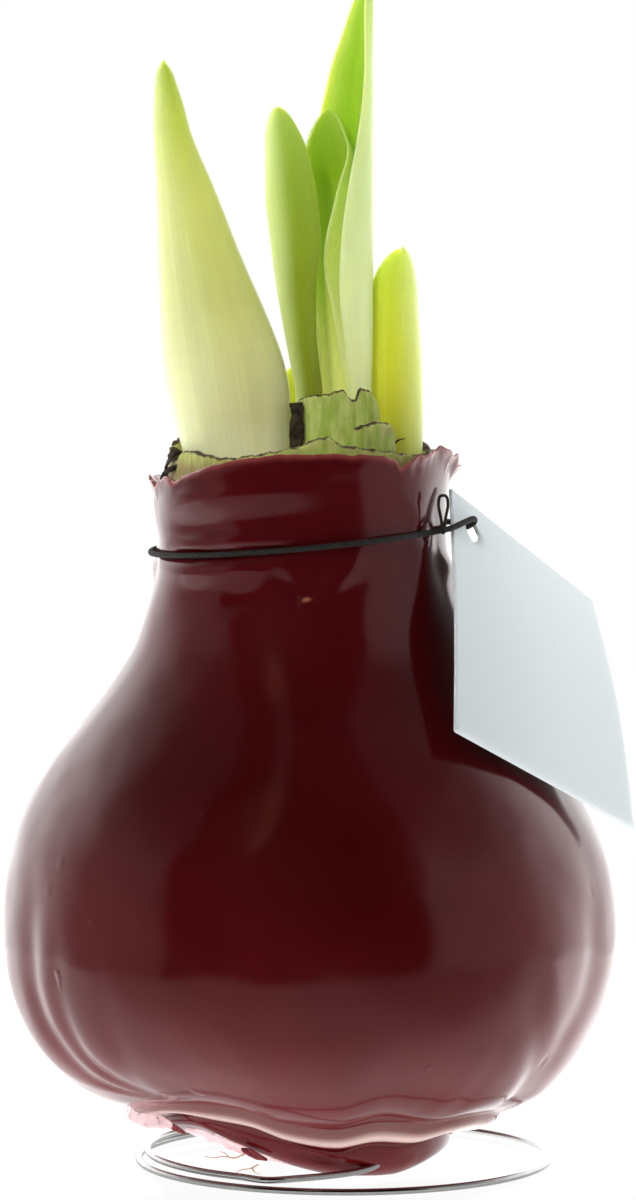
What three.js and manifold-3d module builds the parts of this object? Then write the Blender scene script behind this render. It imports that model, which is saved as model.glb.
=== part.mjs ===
// Amaryllis bulb in a dipped wax coat, with its first shoots, a card tag on an elastic neck cord, and
// a coiled wire stand that is pinned into its base.
//
// Millimetres, +Z up, floor at z = 0. While the pieces are shaped, the middle of the wire stand is at
// x = y = 0; at the end the whole group moves so that the origin lies under the middle of its box.
// Angles round the bulb are in degrees, seen from above: 0 is +X, 90 the back (+Y), 180 is -X and
// -90 the front (-Y).

import * as THREE from 'three';
import { mergeVertices } from 'three/addons/utils/BufferGeometryUtils.js';
import Module from 'manifold-3d';

const wasm = await Module();
wasm.setup();

// ---------------------------------------------------------------- driving dimensions

const GAP = 0.3; // clearance between neighbouring pieces
const COAT_GAP = 0.5; // clearance between the coat and the bulb's flesh
const WAX_THICKNESS = 1.5;
const COAT_SEGMENTS = 80; // facets round the outside of the coat; its inside and the bulb have half

// Body of the coat: height, radius, and x of its middle. The bulb leans a little to -X as it rises.
const BODY = [
  [20.4, 45.2, -5.7],
  [28, 48.3, -5.4],
  [37, 49.6, -5.5],
  [46, 49.0, -5.6],
  [54.5, 46.8, -5.9],
  [62, 43.0, -6.1],
  [70, 37.2, -6.2],
  [77, 31.5, -6.3],
  [84, 27.3, -6.3],
  [91, 25.0, -6.4],
  [98, 23.5, -6.6],
  [105, 23.6, -7.1],
  [110, 24.1, -7.0],
  [116, 24.8, -7.0],
];

// Torn rim at the neck: angle, height of the edge, and how far it curls outward.
const RIM = [
  [-180, 110.8, 0.6],
  [-160, 110.6, 0.2],
  [-140, 111.8, 0.2],
  [-124, 113.6, 0.0],
  [-108, 115.0, 0.0],
  [-80, 115.6, 0.0],
  [-60, 115.2, 0.0],
  [-45, 114.0, 0.3],
  [-33, 115.4, 0.5],
  [-18, 115.2, 0.7],
  [-3, 112.6, 1.5],
  [12, 113.0, 0.8],
  [35, 114.6, 0.2],
  [62, 113.2, 0.4],
  [90, 114.8, 0.1],
  [118, 113.4, 0.5],
  [145, 114.4, 0.2],
];

// Underside, which rises at the front left. For each angle: radius and height of the upper lip, of the
// lower lip, and of the edge that the bulb nearly stands on.
const BASE_X = -4.3;
const UNDERSIDE = [
  [-180, 31.0, 9.6, 27.6, 6.0, 23.6, 3.6],
  [-160, 31.0, 10.6, 27.8, 8.0, 23.0, 4.0],
  [-142, 30.5, 12.3, 27.5, 10.2, 22.4, 4.3],
  [-124, 29.6, 13.3, 26.8, 9.7, 21.5, 3.7],
  [-112, 29.0, 12.8, 26.5, 9.2, 20.8, 3.1],
  [-100, 28.6, 10.8, 26.5, 7.4, 20.2, 2.3],
  [-84, 28.5, 9.7, 26.5, 5.7, 20.0, 1.3],
  [-71, 28.6, 11.3, 26.4, 6.5, 20.0, 0.9],
  [-55, 29.0, 10.2, 26.0, 6.2, 20.0, 0.8],
  [-42, 29.6, 10.1, 25.3, 6.8, 19.5, 1.1],
  [-26, 30.0, 9.7, 24.4, 6.3, 19.2, 1.9],
  [-8, 30.5, 8.6, 23.6, 4.9, 19.4, 2.4],
  [20, 30.5, 8.8, 24.0, 5.1, 19.8, 2.7],
  [55, 30.0, 10.2, 25.0, 6.4, 21.0, 3.0],
  [90, 30.0, 9.6, 26.0, 6.2, 22.0, 3.6],
  [125, 30.5, 11.0, 27.0, 7.4, 22.5, 3.9],
  [155, 31.0, 9.8, 27.4, 6.6, 23.2, 3.8],
];
const FOOT_HOLLOW_HEIGHT = 3.6;
const TUCK_POWER = 0.6; // how quickly the belly turns in to the upper lip

// Soft ribs of the bulb's scales, which show through the wax on the lower half.
const RIB_COUNT = 20;
const RIB_DEPTH = 0.9;
const RIB_TOP = 62; // height where the ribs fade out
const RIB_FADE_RADIUS = 27; // radius under the base where they fade out

// Creases of the wax at the neck: angle, height, half-width in degrees, half-height, depth.
const NECK_CREASES = [
  [-112, 107.5, 30, 2.4, 0.7],
  [-65, 110.5, 26, 2.2, 0.5],
  [-95, 95.0, 34, 2.2, 0.6],
  [-150, 93.5, 26, 2.4, 0.5],
  [40, 106.0, 34, 3.0, 0.6],
  [120, 94.0, 36, 2.6, 0.6],
];

// Neck of the bulb: its cut floor, and the stumps of cut scales that stand on it. A scale wall is a
// ring sector: middle, outer radius, thickness, and the height of its torn top at several angles.
const NECK_X = -7;
const NECK_FLOOR = 110.5;
const SCALE_FOOT = 104;
const SCALES = [
  {
    x: NECK_X, y: 0, radius: 21.5, thickness: 1.7,
    tops: [[-180, 113.6], [-171, 115.6], [-164, 113.4], [-150, 115.4], [-126, 114.6], [-108, 115.4],
      [-92, 116.6], [-78, 118.2], [-73, 117.0], [-60, 116.2], [-45, 115.4], [-25, 114.6], [0, 114.4]],
  },
  {
    x: NECK_X, y: 0, radius: 21.5, thickness: 1.7,
    tops: [[0, 114.4], [20, 116.0], [45, 115.2], [60, 117.4], [90, 116.4], [110, 117.6], [135, 115.4],
      [160, 116.0], [180, 113.6]],
  },
  {
    x: NECK_X, y: 0, radius: 18.6, thickness: 1.9,
    tops: [[-61, 119.2], [-50, 120.0], [-37, 119.6], [-33, 117.6]],
  },
  {
    x: NECK_X, y: 0, radius: 16.2, thickness: 1.6,
    tops: [[-48, 116.6], [-38, 117.2], [-28, 116.4], [-16, 116.8]],
  },
  {
    x: -0.5, y: -0.4, radius: 9.6, thickness: 1.8,
    tops: [[-152, 122.2], [-134, 123.6], [-125, 124.0], [-104, 124.4], [-88, 125.0], [-80, 123.5],
      [-74, 123.7], [-71, 125.1], [-58, 124.6], [-50, 122.8], [-46, 120.0]],
  },
  {
    x: -0.5, y: 0.8, radius: 10.8, thickness: 1.7,
    tops: [[28, 118.0], [48, 121.4], [84, 122.6], [116, 121.6], [140, 119.4]],
  },
  {
    x: -17.6, y: -1.5, radius: 11.6, thickness: 1.6,
    tops: [[52, 116.4], [84, 118.6], [122, 118.0], [158, 115.8]],
  },
];

// Shoots stand this deep in plain holes in the neck.
const SHOOT_FOOT = 101;

// Flower bud in its sheath: height, x and y of its middle, half-width and half-depth.
const BUD = [
  [SHOOT_FOOT, -16.0, -2.6, 7.2, 5.2],
  [110, -16.8, -2.8, 8.0, 5.7],
  [114.5, -17.2, -3.0, 8.5, 6.0],
  [120, -17.9, -3.0, 9.25, 6.3],
  [125, -18.6, -3.0, 9.7, 6.5],
  [130, -19.5, -3.0, 9.55, 6.4],
  [137, -21.0, -3.0, 8.4, 5.8],
  [146, -23.1, -3.0, 6.6, 4.8],
  [156, -25.2, -3.0, 4.8, 3.7],
  [165, -27.3, -3.0, 3.1, 2.6],
  [170, -28.0, -3.0, 2.4, 2.1],
  [174.8, -28.6, -3.0, 1.4, 1.3],
  [177.2, -28.8, -3.0, 0.45, 0.45],
];
const BUD_SIDES = 20;
const BUD_ROWS = 17;

// Leaves. Each level is the arc of an ellipse in plan: height, x and y of the ellipse's middle, its
// half-width and half-depth, and the angles of the two margins. The last tip millimetres round off
// towards the point of the arc at tipAngle.
const LEAVES = {
  leaf_round: {
    columns: 8,
    rows: 12,
    thickness: 1.5,
    tip: 6.5,
    tipAngle: 260,
    levels: [
      [SHOOT_FOOT, -5.0, -2.2, 1.9, 2.4, 186, 350],
      [124, -5.6, -2.3, 1.9, 2.5, 186, 352],
      [129.6, -6.4, -2.4, 2.1, 2.4, 187, 352],
      [134.5, -7.1, -2.5, 2.4, 2.4, 188, 352],
      [141.5, -7.65, -2.5, 3.1, 2.4, 190, 352],
      [148, -7.75, -2.4, 3.9, 2.4, 190, 351],
      [155, -8.4, -2.3, 4.05, 2.3, 190, 350],
      [162, -9.15, -2.3, 3.35, 2.1, 190, 350],
      [166, -9.85, -2.3, 2.75, 1.9, 190, 350],
      [169.8, -10.3, -2.2, 2.2, 1.6, 190, 350],
    ],
  },
  leaf_cupped: {
    columns: 12,
    rows: 13,
    thickness: 1.1,
    tip: 6,
    tipAngle: 95,
    levels: [
      [SHOOT_FOOT, -0.8, 0.4, 3.0, 2.2, -75, 205],
      [124.8, -0.8, 0.4, 3.2, 2.3, -70, 209],
      [128, -1.0, 0.4, 3.4, 2.3, -80, 218],
      [137, -1.4, 0.4, 3.8, 2.4, -97, 224],
      [142.5, -1.6, 0.4, 4.2, 2.5, -110, 208],
      [146, -1.7, 0.4, 4.3, 2.5, -112, 200],
      [150, -1.9, 0.4, 4.4, 2.5, -101, 194],
      [154, -2.0, 0.4, 4.4, 2.5, -87, 190],
      [157.5, -2.1, 0.4, 4.2, 2.4, -74, 188],
      [161, -2.3, 0.4, 4.0, 2.3, -52, 188],
      [165, -2.6, 0.6, 3.0, 2.0, -18, 192],
      [169.2, -2.4, 0.8, 2.3, 1.6, -10, 190],
    ],
  },
  leaf_inner: {
    columns: 5,
    rows: 8,
    thickness: 0.9,
    tip: 4.5,
    tipAngle: 270,
    levels: [
      [SHOOT_FOOT, -0.7, 0.9, 1.3, 0.9, 185, 355],
      [128, -0.9, 0.9, 1.4, 1.0, 185, 355],
      [137, -1.4, 0.9, 1.7, 1.2, 185, 355],
      [147, -1.5, 0.9, 1.5, 1.1, 185, 355],
    ],
  },
  leaf_tall: {
    columns: 11,
    rows: 14,
    thickness: 1.2,
    tip: 4.5,
    tipAngle: 20,
    levels: [
      [SHOOT_FOOT, -1.0, 0.8, 4.9, 4.5, -66, 128],
      [125, -1.1, 0.8, 5.0, 4.6, -67, 130],
      [130, -1.2, 0.8, 5.2, 4.6, -73, 130],
      [140, -1.3, 0.8, 5.35, 4.7, -84, 130],
      [149, -1.3, 0.8, 5.35, 4.7, -81, 130],
      [158, -1.2, 0.8, 5.25, 4.6, -68, 132],
      [165, -0.95, 0.9, 5.0, 4.2, -53, 134],
      [172.5, -0.1, 1.0, 4.2, 3.4, -42, 134],
      [177, 0.55, 1.1, 3.5, 2.8, -40, 134],
      [182, 1.6, 1.2, 2.5, 2.1, -50, 134],
      [186.8, 2.6, 1.3, 1.5, 1.4, -66, 140],
      [189.8, 3.0, 1.4, 1.0, 1.0, -70, 140],
    ],
  },
  leaf_right: {
    columns: 8,
    rows: 9,
    thickness: 1.5,
    tip: 8,
    tipAngle: 280,
    levels: [
      [SHOOT_FOOT, 8.6, 3.6, 3.2, 3.2, 184, 356],
      [118, 8.7, 3.6, 3.5, 3.3, 184, 356],
      [127, 8.6, 3.6, 3.4, 3.3, 184, 356],
      [134, 8.4, 3.6, 3.2, 3.2, 184, 356],
      [139, 8.2, 3.6, 3.1, 3.1, 184, 356],
      [143, 8.25, 3.6, 3.05, 2.8, 184, 356],
      [147.6, 8.6, 3.4, 2.7, 2.2, 184, 356],
    ],
  },
  leaf_back: {
    columns: 5,
    rows: 6,
    thickness: 1.2,
    tip: 3.5,
    tipAngle: 270,
    levels: [
      [SHOOT_FOOT, -8.4, 6.6, 1.9, 1.5, 190, 350],
      [120, -8.4, 6.6, 1.9, 1.5, 190, 350],
      [128, -8.2, 6.6, 1.8, 1.4, 190, 350],
    ],
  },
};
const MARGIN_THINNING = 0.55; // thickness at a leaf's margins, as a share of its middle
const THINNEST = 0.6;

// Elastic cord: a closed loop in the neck's waist that leaves it at the right to pass through the tag.
const CORD_DIAMETER = 1.0;
const CORD_LEFT_HEIGHT = 98.6;
const CORD_RIGHT_HEIGHT = 103.0;
const CORD_X = -6.7; // x of the neck's axis at the cord
const CORD_REACH = 24.3; // from that axis to the cord's middle
const END_LOOP_STRAND = 0.5;
const END_LOOP_HEIGHT = 5.4;
const END_LOOP_WIDTH = 1.5;

// Card tag: its four corners, and its hole as shares of the way from the inner edge and from the top.
const TAG_THICKNESS = 0.6;
const TAG_CORNERS = {
  topInner: [16.8, -7.6, 109.1],
  topOuter: [40.8, 19, 88.9],
  bottomInner: [17, -33.4, 72.9],
  bottomOuter: [46.3, -10.4, 54.7],
};
const TAG_BOW = 1.2; // how far its middle bows outward
const TAG_HOLE = { across: 0.13, down: 0.116, diameter: 3.7 };
const TAG_GRID = 6;

// Wire stand: an upper turn from the pinned end round the left to the back, and a flat lower turn.
const WIRE_DIAMETER = 1.1;
const WIRE_SIDES = 8;
const STAND_RADIUS = 33.15;
const UPPER_TURN_RADIUS = 31.7;
const UPPER_TURN_START = -122;
const DROP_START = -258;
const LOWER_TURN_START = -292;
const LOWER_TURN_END = -612;
const WIRE_STEP = 9;
const PIN = [
  [12, -11, 13.5],
  [10.2, -14.4, 8.8],
  [7.8, -17.9, 4.8],
  [5.2, -20.8, 2.8],
  [2.2, -23.2, 2.15],
  [-2.4, -26.1, 1.95],
  [-7.2, -28.6, 1.95],
  [-12.2, -30.3, 1.95],
];

// ---------------------------------------------------------------- small helpers

const rad = (degrees) => (degrees * Math.PI) / 180;
const lerp = THREE.MathUtils.lerp;
const clamp01 = (value) => THREE.MathUtils.clamp(value, 0, 1);
const smooth = (value) => THREE.MathUtils.smoothstep(value, 0, 1);

// Values between the rows of a table whose first column rises, on a smooth curve through them.
function between(rows, key) {
  let i = rows.findIndex((row) => row[0] >= key);
  if (i === -1) return rows.at(-1).slice(1);
  if (i === 0) return rows[0].slice(1);
  i -= 1;
  const [p, q] = [rows[i], rows[i + 1]];
  const before = rows[Math.max(i - 1, 0)];
  const after = rows[Math.min(i + 2, rows.length - 1)];
  const span = q[0] - p[0];
  const t = (key - p[0]) / span;
  return p.slice(1).map((value, c) => {
    const k = c + 1;
    const slopeP = (q[k] - before[k]) / (q[0] - before[0]);
    const slopeQ = (after[k] - p[k]) / (after[0] - p[0]);
    const h = t * t * (3 - 2 * t);
    const tangents = span * (slopeP * t * (1 - t) * (1 - t) - slopeQ * t * t * (1 - t));
    return lerp(value, q[k], h) + tangents;
  });
}

// The same round a full circle: rows are [angle, ...values] from -180 up to less than 180.
function around(rows, angle) {
  const turned = ((((angle + 180) % 360) + 360) % 360) - 180;
  const wrapped = [
    [rows.at(-1)[0] - 360, ...rows.at(-1).slice(1)],
    ...rows,
    [rows[0][0] + 360, ...rows[0].slice(1)],
    [rows[1][0] + 360, ...rows[1].slice(1)],
  ];
  return between(wrapped, turned);
}

// Collects points and faces of one closed body.
class Skin {
  constructor() {
    this.points = [];
    this.faces = [];
  }

  add(point) {
    this.points.push(point.x, point.y, point.z);
    return this.points.length / 3 - 1;
  }

  addRow(points) {
    return points.map((point) => this.add(point));
  }

  // Joins a row to a closed one with half as many points.
  joinToHalf(row, half) {
    half.forEach((index, i) => {
      const next = half[(i + 1) % half.length];
      const [a, b, c] = [row[2 * i], row[2 * i + 1], row[(2 * i + 2) % row.length]];
      this.faces.push([b, a, index], [c, b, next], [next, b, index]);
    });
  }

  // Two triangles between neighbouring rows, always split along the same diagonal.
  joinRows(rowA, rowB, closed) {
    const count = closed ? rowA.length : rowA.length - 1;
    for (let i = 0; i < count; i += 1) {
      const j = (i + 1) % rowA.length;
      this.faces.push([rowA[i], rowA[j], rowB[j]], [rowA[i], rowB[j], rowB[i]]);
    }
  }

  fan(row, centre, flipped) {
    row.forEach((index, i) => {
      const next = row[(i + 1) % row.length];
      this.faces.push(flipped ? [index, centre, next] : [centre, index, next]);
    });
  }

  geometry() {
    const geometry = new THREE.BufferGeometry();
    geometry.setAttribute('position', new THREE.Float32BufferAttribute(this.points, 3));
    geometry.setIndex(this.faces.flat());
    return facingOut(geometry);
  }
}

// Turns a closed geometry's faces outward if they point in.
function facingOut(geometry) {
  const position = geometry.getAttribute('position');
  const index = geometry.getIndex().array;
  const [a, b, c] = [new THREE.Vector3(), new THREE.Vector3(), new THREE.Vector3()];
  let volume = 0;
  for (let i = 0; i < index.length; i += 3) {
    a.fromBufferAttribute(position, index[i]);
    b.fromBufferAttribute(position, index[i + 1]);
    c.fromBufferAttribute(position, index[i + 2]);
    volume += a.dot(b.cross(c));
  }
  if (volume < 0) {
    for (let i = 0; i < index.length; i += 3) {
      [index[i + 1], index[i + 2]] = [index[i + 2], index[i + 1]];
    }
  }
  return geometry;
}

function middleOf(points) {
  return points.reduce((sum, point) => sum.add(point), new THREE.Vector3()).divideScalar(points.length);
}

// A body through closed loops of equally many points, with a fan on its first and last loop.
function loft(loops, lastMiddle = middleOf(loops.at(-1))) {
  const skin = new Skin();
  const rows = loops.map((loop) => skin.addRow(loop));
  for (let i = 0; i + 1 < rows.length; i += 1) {
    skin.joinRows(rows[i], rows[i + 1], true);
  }
  skin.fan(rows[0], skin.add(middleOf(loops[0])), true);
  skin.fan(rows.at(-1), skin.add(lastMiddle), false);
  return skin.geometry();
}

// A sheet with a thickness: two faces given as grids of points, joined round their four edges.
function sheet(outerRows, innerRows) {
  const skin = new Skin();
  const outer = outerRows.map((row) => skin.addRow(row));
  const inner = innerRows.map((row) => skin.addRow(row));
  const last = outer.length - 1;
  for (let i = 0; i < last; i += 1) {
    skin.joinRows(outer[i], outer[i + 1], false);
    for (let k = 0; k + 1 < inner[i].length; k += 1) {
      const [a, b, c, d] = [inner[i][k], inner[i][k + 1], inner[i + 1][k + 1], inner[i + 1][k]];
      skin.faces.push([a, c, b], [a, d, c]);
    }
  }
  const rim = (grid) => [
    ...grid[0],
    ...grid.slice(1, last).map((row) => row.at(-1)),
    ...grid[last].slice().reverse(),
    ...grid.slice(1, last).map((row) => row[0]).reverse(),
  ];
  const [outerRim, innerRim] = [rim(outer), rim(inner)];
  outerRim.forEach((a, i) => {
    const j = (i + 1) % outerRim.length;
    skin.faces.push([outerRim[j], a, innerRim[i]], [outerRim[j], innerRim[i], innerRim[j]]);
  });
  return skin.geometry();
}

// A round bar of flat facets along points, with one facet underneath.
function bar(points, diameter, sides) {
  const reach = diameter / 2 / Math.cos(Math.PI / sides);
  const up = new THREE.Vector3(0, 0, 1);
  const loops = points.map((point, i) => {
    const before = points[Math.max(i - 1, 0)];
    const after = points[Math.min(i + 1, points.length - 1)];
    const along = after.clone().sub(before).normalize();
    const side = along.clone().cross(up).normalize();
    const top = side.clone().cross(along);
    return Array.from({ length: sides }, (_, k) => {
      const turn = ((k + 0.5) / sides) * 2 * Math.PI;
      return point.clone()
        .addScaledVector(side, reach * Math.sin(turn))
        .addScaledVector(top, -reach * Math.cos(turn));
    });
  });
  return loft(loops);
}

function solidOf(geometry) {
  const bare = geometry.clone();
  bare.deleteAttribute('normal');
  bare.deleteAttribute('uv');
  const merged = mergeVertices(bare);
  return new wasm.Manifold(new wasm.Mesh({
    numProp: 3,
    vertProperties: Float32Array.from(merged.getAttribute('position').array),
    triVerts: Uint32Array.from(merged.getIndex().array),
  }));
}

// The cut of a rolled leaf's hole can free a crumb inside the roll; only the body itself is kept.
function largestBody(solid) {
  return solid.decompose().reduce((best, body) => (body.volume() > best.volume() ? body : best));
}

function geometryOf(solid) {
  const mesh = solid.getMesh();
  const geometry = new THREE.BufferGeometry();
  geometry.setAttribute('position', new THREE.Float32BufferAttribute(mesh.vertProperties, 3));
  geometry.setIndex(Array.from(mesh.triVerts));
  return geometry;
}

const object = new THREE.Group();

function addPiece(name, geometry, { color, roughness, metalness = 0 }) {
  const material = new THREE.MeshStandardMaterial({ color, roughness, metalness });
  geometry.computeVertexNormals();
  const mesh = new THREE.Mesh(geometry, material);
  mesh.name = name;
  object.add(mesh);
}

// ---------------------------------------------------------------- wax coat and the bulb inside it

// Profile of the coat at one angle, from a top height down, as [radius, height, x of the middle].
// Without lips it is the smooth shape that the flesh inside follows.
function coatProfile(angle, top, withLips) {
  const [upperRadius, upperLip, lowerRadius, lowerLip, footRadius, foot] = around(UNDERSIDE, angle);
  const [beltHeight, beltRadius, beltX] = BODY[0];
  const onBody = (height) => {
    const [radius, x] = between(BODY, height);
    return [radius, height, x];
  };
  const rows = (withLips
    ? [top, top - 2.4, 106.5, 103, 99, 95, 90, 84, 78, 71, 64, 56, 47, 38, 29]
    : [top, 104, 98, 91, 84, 77, 70, 62, 50, 37, 28]
  ).map(onBody);
  const tucks = withLips ? [1, 0.7, 0.42, 0.2, 0.06] : [1, 0.5, 0.15];
  tucks.forEach((share) => {
    const out = share ** TUCK_POWER;
    rows.push([
      lerp(upperRadius, beltRadius, out),
      lerp(upperLip, beltHeight, share),
      lerp(BASE_X, beltX, out),
    ]);
  });
  rows.push([upperRadius, upperLip, BASE_X]);
  if (withLips) {
    rows.push([upperRadius - 1.3, upperLip - 0.6, BASE_X]);
    rows.push([lerp(upperRadius, lowerRadius, 0.6), lerp(upperLip, lowerLip, 0.55), BASE_X]);
  }
  rows.push([lowerRadius, lowerLip, BASE_X]);
  if (withLips) {
    rows.push([lowerRadius - 1.6, lowerLip - 0.5, BASE_X]);
    rows.push([lerp(lowerRadius, footRadius, 0.55) - 0.7, lerp(lowerLip, foot, 0.6), BASE_X]);
  }
  rows.push([footRadius, foot, BASE_X]);
  rows.push([footRadius * 0.8, lerp(foot, FOOT_HOLLOW_HEIGHT, 0.3), BASE_X]);
  return rows;
}

// How far the ribs and neck creases move the coat's surface, outward positive.
function relief(angle, height, radius) {
  const rise = clamp01((RIB_TOP - height) / 30) * clamp01((radius - RIB_FADE_RADIUS) / 8);
  const sides = 0.4 + 0.6 * Math.abs(Math.cos(rad(angle + 20)));
  const wave = Math.abs(Math.sin(rad((angle * RIB_COUNT) / 2 + 9 * Math.sin(rad(3 * angle)))));
  let shift = RIB_DEPTH * (wave - 0.6) * smooth(rise) * sides;
  NECK_CREASES.forEach(([creaseAngle, creaseHeight, halfWidth, halfHeight, depth]) => {
    const turn = ((((angle - creaseAngle + 180) % 360) + 360) % 360) - 180;
    const distance = Math.hypot(turn / halfWidth, (height - creaseHeight) / halfHeight);
    shift += distance < 1 ? depth * smooth(1 - distance) : 0;
  });
  return shift;
}

// Moves a profile inward by a wall thickness, square to its surface.
function inset(profile, distance) {
  return profile.map(([radius, height, x], i) => {
    const before = profile[Math.max(i - 1, 0)];
    const after = profile[Math.min(i + 1, profile.length - 1)];
    const along = new THREE.Vector2(after[0] - before[0], after[1] - before[1]).normalize();
    return [radius + along.y * distance, height - along.x * distance, x];
  });
}

function place([radius, height, x], angle) {
  return new THREE.Vector3(x + radius * Math.cos(rad(angle)), radius * Math.sin(rad(angle)), height);
}

// Rows of points that run round the bulb, from one profile for each angle.
function rowsRound(segments, profileAt) {
  const angles = Array.from({ length: segments }, (_, i) => -180 + (i * 360) / segments);
  const profiles = angles.map(profileAt);
  return profiles[0].map((_, k) => profiles.map((profile, i) => place(profile[k], angles[i])));
}

function outerProfile(angle) {
  const [rimHeight, curl] = around(RIM, angle);
  const rows = coatProfile(angle, rimHeight, true).map(([radius, height, x]) => (
    [radius + relief(angle, height, radius), height, x]));
  rows[0][0] += curl;
  return rows;
}

function innerProfile(angle) {
  const [rimHeight, curl] = around(RIM, angle);
  const rows = inset(coatProfile(angle, rimHeight - 0.3, false), WAX_THICKNESS);
  rows[0][0] += curl;
  return rows;
}

function fleshProfile(angle) {
  return inset(coatProfile(angle, NECK_FLOOR, false), WAX_THICKNESS + COAT_GAP);
}

function coatShell() {
  const skin = new Skin();
  const outer = rowsRound(COAT_SEGMENTS, outerProfile).map((row) => skin.addRow(row));
  const [rimRow] = rowsRound(COAT_SEGMENTS, innerProfile);
  const rim = skin.addRow(rimRow);
  const inner = rowsRound(COAT_SEGMENTS / 2, innerProfile).slice(1).map((row) => skin.addRow(row));
  skin.joinRows(rim, outer[0], true);
  skin.joinToHalf(rim, inner[0]);
  for (let i = 0; i + 1 < outer.length; i += 1) {
    skin.joinRows(outer[i], outer[i + 1], true);
  }
  for (let i = 0; i + 1 < inner.length; i += 1) {
    skin.joinRows(inner[i + 1], inner[i], true);
  }
  skin.fan(outer.at(-1), skin.add(new THREE.Vector3(BASE_X, 0, FOOT_HOLLOW_HEIGHT)), false);
  skin.fan(inner.at(-1), skin.add(new THREE.Vector3(BASE_X, 0, FOOT_HOLLOW_HEIGHT + WAX_THICKNESS)), true);
  return solidOf(skin.geometry());
}

function flesh() {
  const middle = new THREE.Vector3(BASE_X, 0, FOOT_HOLLOW_HEIGHT + WAX_THICKNESS + COAT_GAP);
  return solidOf(loft(rowsRound(COAT_SEGMENTS / 2, fleshProfile), middle));
}

// One stump of a cut scale: a wall that thins towards its torn top.
function scaleWall({ x, y, radius, thickness, tops }) {
  const [from, to] = [tops[0][0], tops.at(-1)[0]];
  const steps = Math.ceil((to - from) / 6);
  const loops = Array.from({ length: steps + 1 }, (_, i) => {
    const angle = lerp(from, to, i / steps);
    const [top] = between(tops, angle);
    const ragged = top + 0.25 * Math.sin(i * 2.4) + 0.15 * Math.sin(i * 5.1);
    const at = (reach, height) => new THREE.Vector3(
      x + reach * Math.cos(rad(angle)), y + reach * Math.sin(rad(angle)), height);
    return [
      at(radius, SCALE_FOOT),
      at(radius, ragged),
      at(radius - 0.75 * thickness, ragged - 0.2),
      at(radius - thickness, SCALE_FOOT),
    ];
  });
  return solidOf(loft(loops));
}

// ---------------------------------------------------------------- shoots

function budShoot(grow) {
  const [foot, top] = [BUD[0][0], BUD.at(-1)[0]];
  const loops = Array.from({ length: BUD_ROWS + 1 }, (_, k) => {
    const height = lerp(foot, top, 1 - (1 - k / BUD_ROWS) ** 1.25);
    const [x, y, halfWidth, halfDepth] = between(BUD, height);
    return Array.from({ length: BUD_SIDES }, (_side, i) => {
      const turn = (i / BUD_SIDES) * 2 * Math.PI;
      return new THREE.Vector3(
        x + (halfWidth + grow) * Math.cos(turn),
        y + (halfDepth + grow) * Math.sin(turn),
        k === 0 ? height - grow : height,
      );
    });
  });
  return loft(loops);
}

// One leaf blade. grow makes it larger all round, to cut the hole that it stands in.
function leafBlade({ columns, rows, thickness, tip, tipAngle, levels }, grow) {
  const [foot, top] = [levels[0][0], levels.at(-1)[0]];
  const heights = Array.from({ length: rows + 1 }, (_, i) => {
    const share = i / rows;
    return lerp(foot, top, 1 - (1 - share) ** 1.35);
  });
  const faces = heights.map((height) => {
    const [x, y, halfWidth, halfDepth, from, to] = between(levels, height);
    const closing = clamp01((height - (top - tip)) / tip);
    const share = Math.max(Math.sqrt(1 - closing * closing), 0.14);
    const anchor = new THREE.Vector2(
      x + halfWidth * Math.cos(rad(tipAngle)), y + halfDepth * Math.sin(rad(tipAngle)));
    const spread = (grow / halfWidth) * (180 / Math.PI);
    const level = height === foot ? height - grow : height;
    const outer = [];
    const inner = [];
    for (let k = 0; k <= columns; k += 1) {
      const angle = rad(lerp(from - spread, to + spread, k / columns));
      const middle = new THREE.Vector2(x + halfWidth * Math.cos(angle), y + halfDepth * Math.sin(angle));
      middle.sub(anchor).multiplyScalar(share).add(anchor);
      const normal = new THREE.Vector2(halfDepth * Math.cos(angle), halfWidth * Math.sin(angle)).normalize();
      const body = lerp(MARGIN_THINNING, 1, Math.sin((Math.PI * k) / columns));
      const half = Math.max(thickness * body * lerp(0.7, 1, share), THINNEST) / 2 + grow;
      const faceOut = middle.clone().addScaledVector(normal, half);
      const faceIn = middle.clone().addScaledVector(normal, -half);
      outer.push(new THREE.Vector3(faceOut.x, faceOut.y, level));
      inner.push(new THREE.Vector3(faceIn.x, faceIn.y, level));
    }
    return { outer, inner };
  });
  return sheet(faces.map((face) => face.outer), faces.map((face) => face.inner));
}

// ---------------------------------------------------------------- cord and tag

function cordHeight(x) {
  const left = CORD_X - CORD_REACH;
  const right = CORD_X + CORD_REACH;
  return lerp(CORD_LEFT_HEIGHT, CORD_RIGHT_HEIGHT, (x - left) / (right - left));
}

// A point of the tag: shares across from its inner edge and down from its top, and a distance outward.
function tagPoint(across, down, lift) {
  const corner = Object.fromEntries(
    Object.entries(TAG_CORNERS).map(([name, xyz]) => [name, new THREE.Vector3(...xyz)]));
  const top = corner.topInner.clone().lerp(corner.topOuter, across);
  const bottom = corner.bottomInner.clone().lerp(corner.bottomOuter, across);
  const right = corner.topOuter.clone().sub(corner.topInner);
  const below = corner.bottomInner.clone().sub(corner.topInner);
  const outward = below.cross(right).normalize();
  const bow = TAG_BOW * Math.sin(Math.PI * down) * (0.4 + 0.6 * across);
  return top.lerp(bottom, down).addScaledVector(outward, bow + lift);
}

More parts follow.
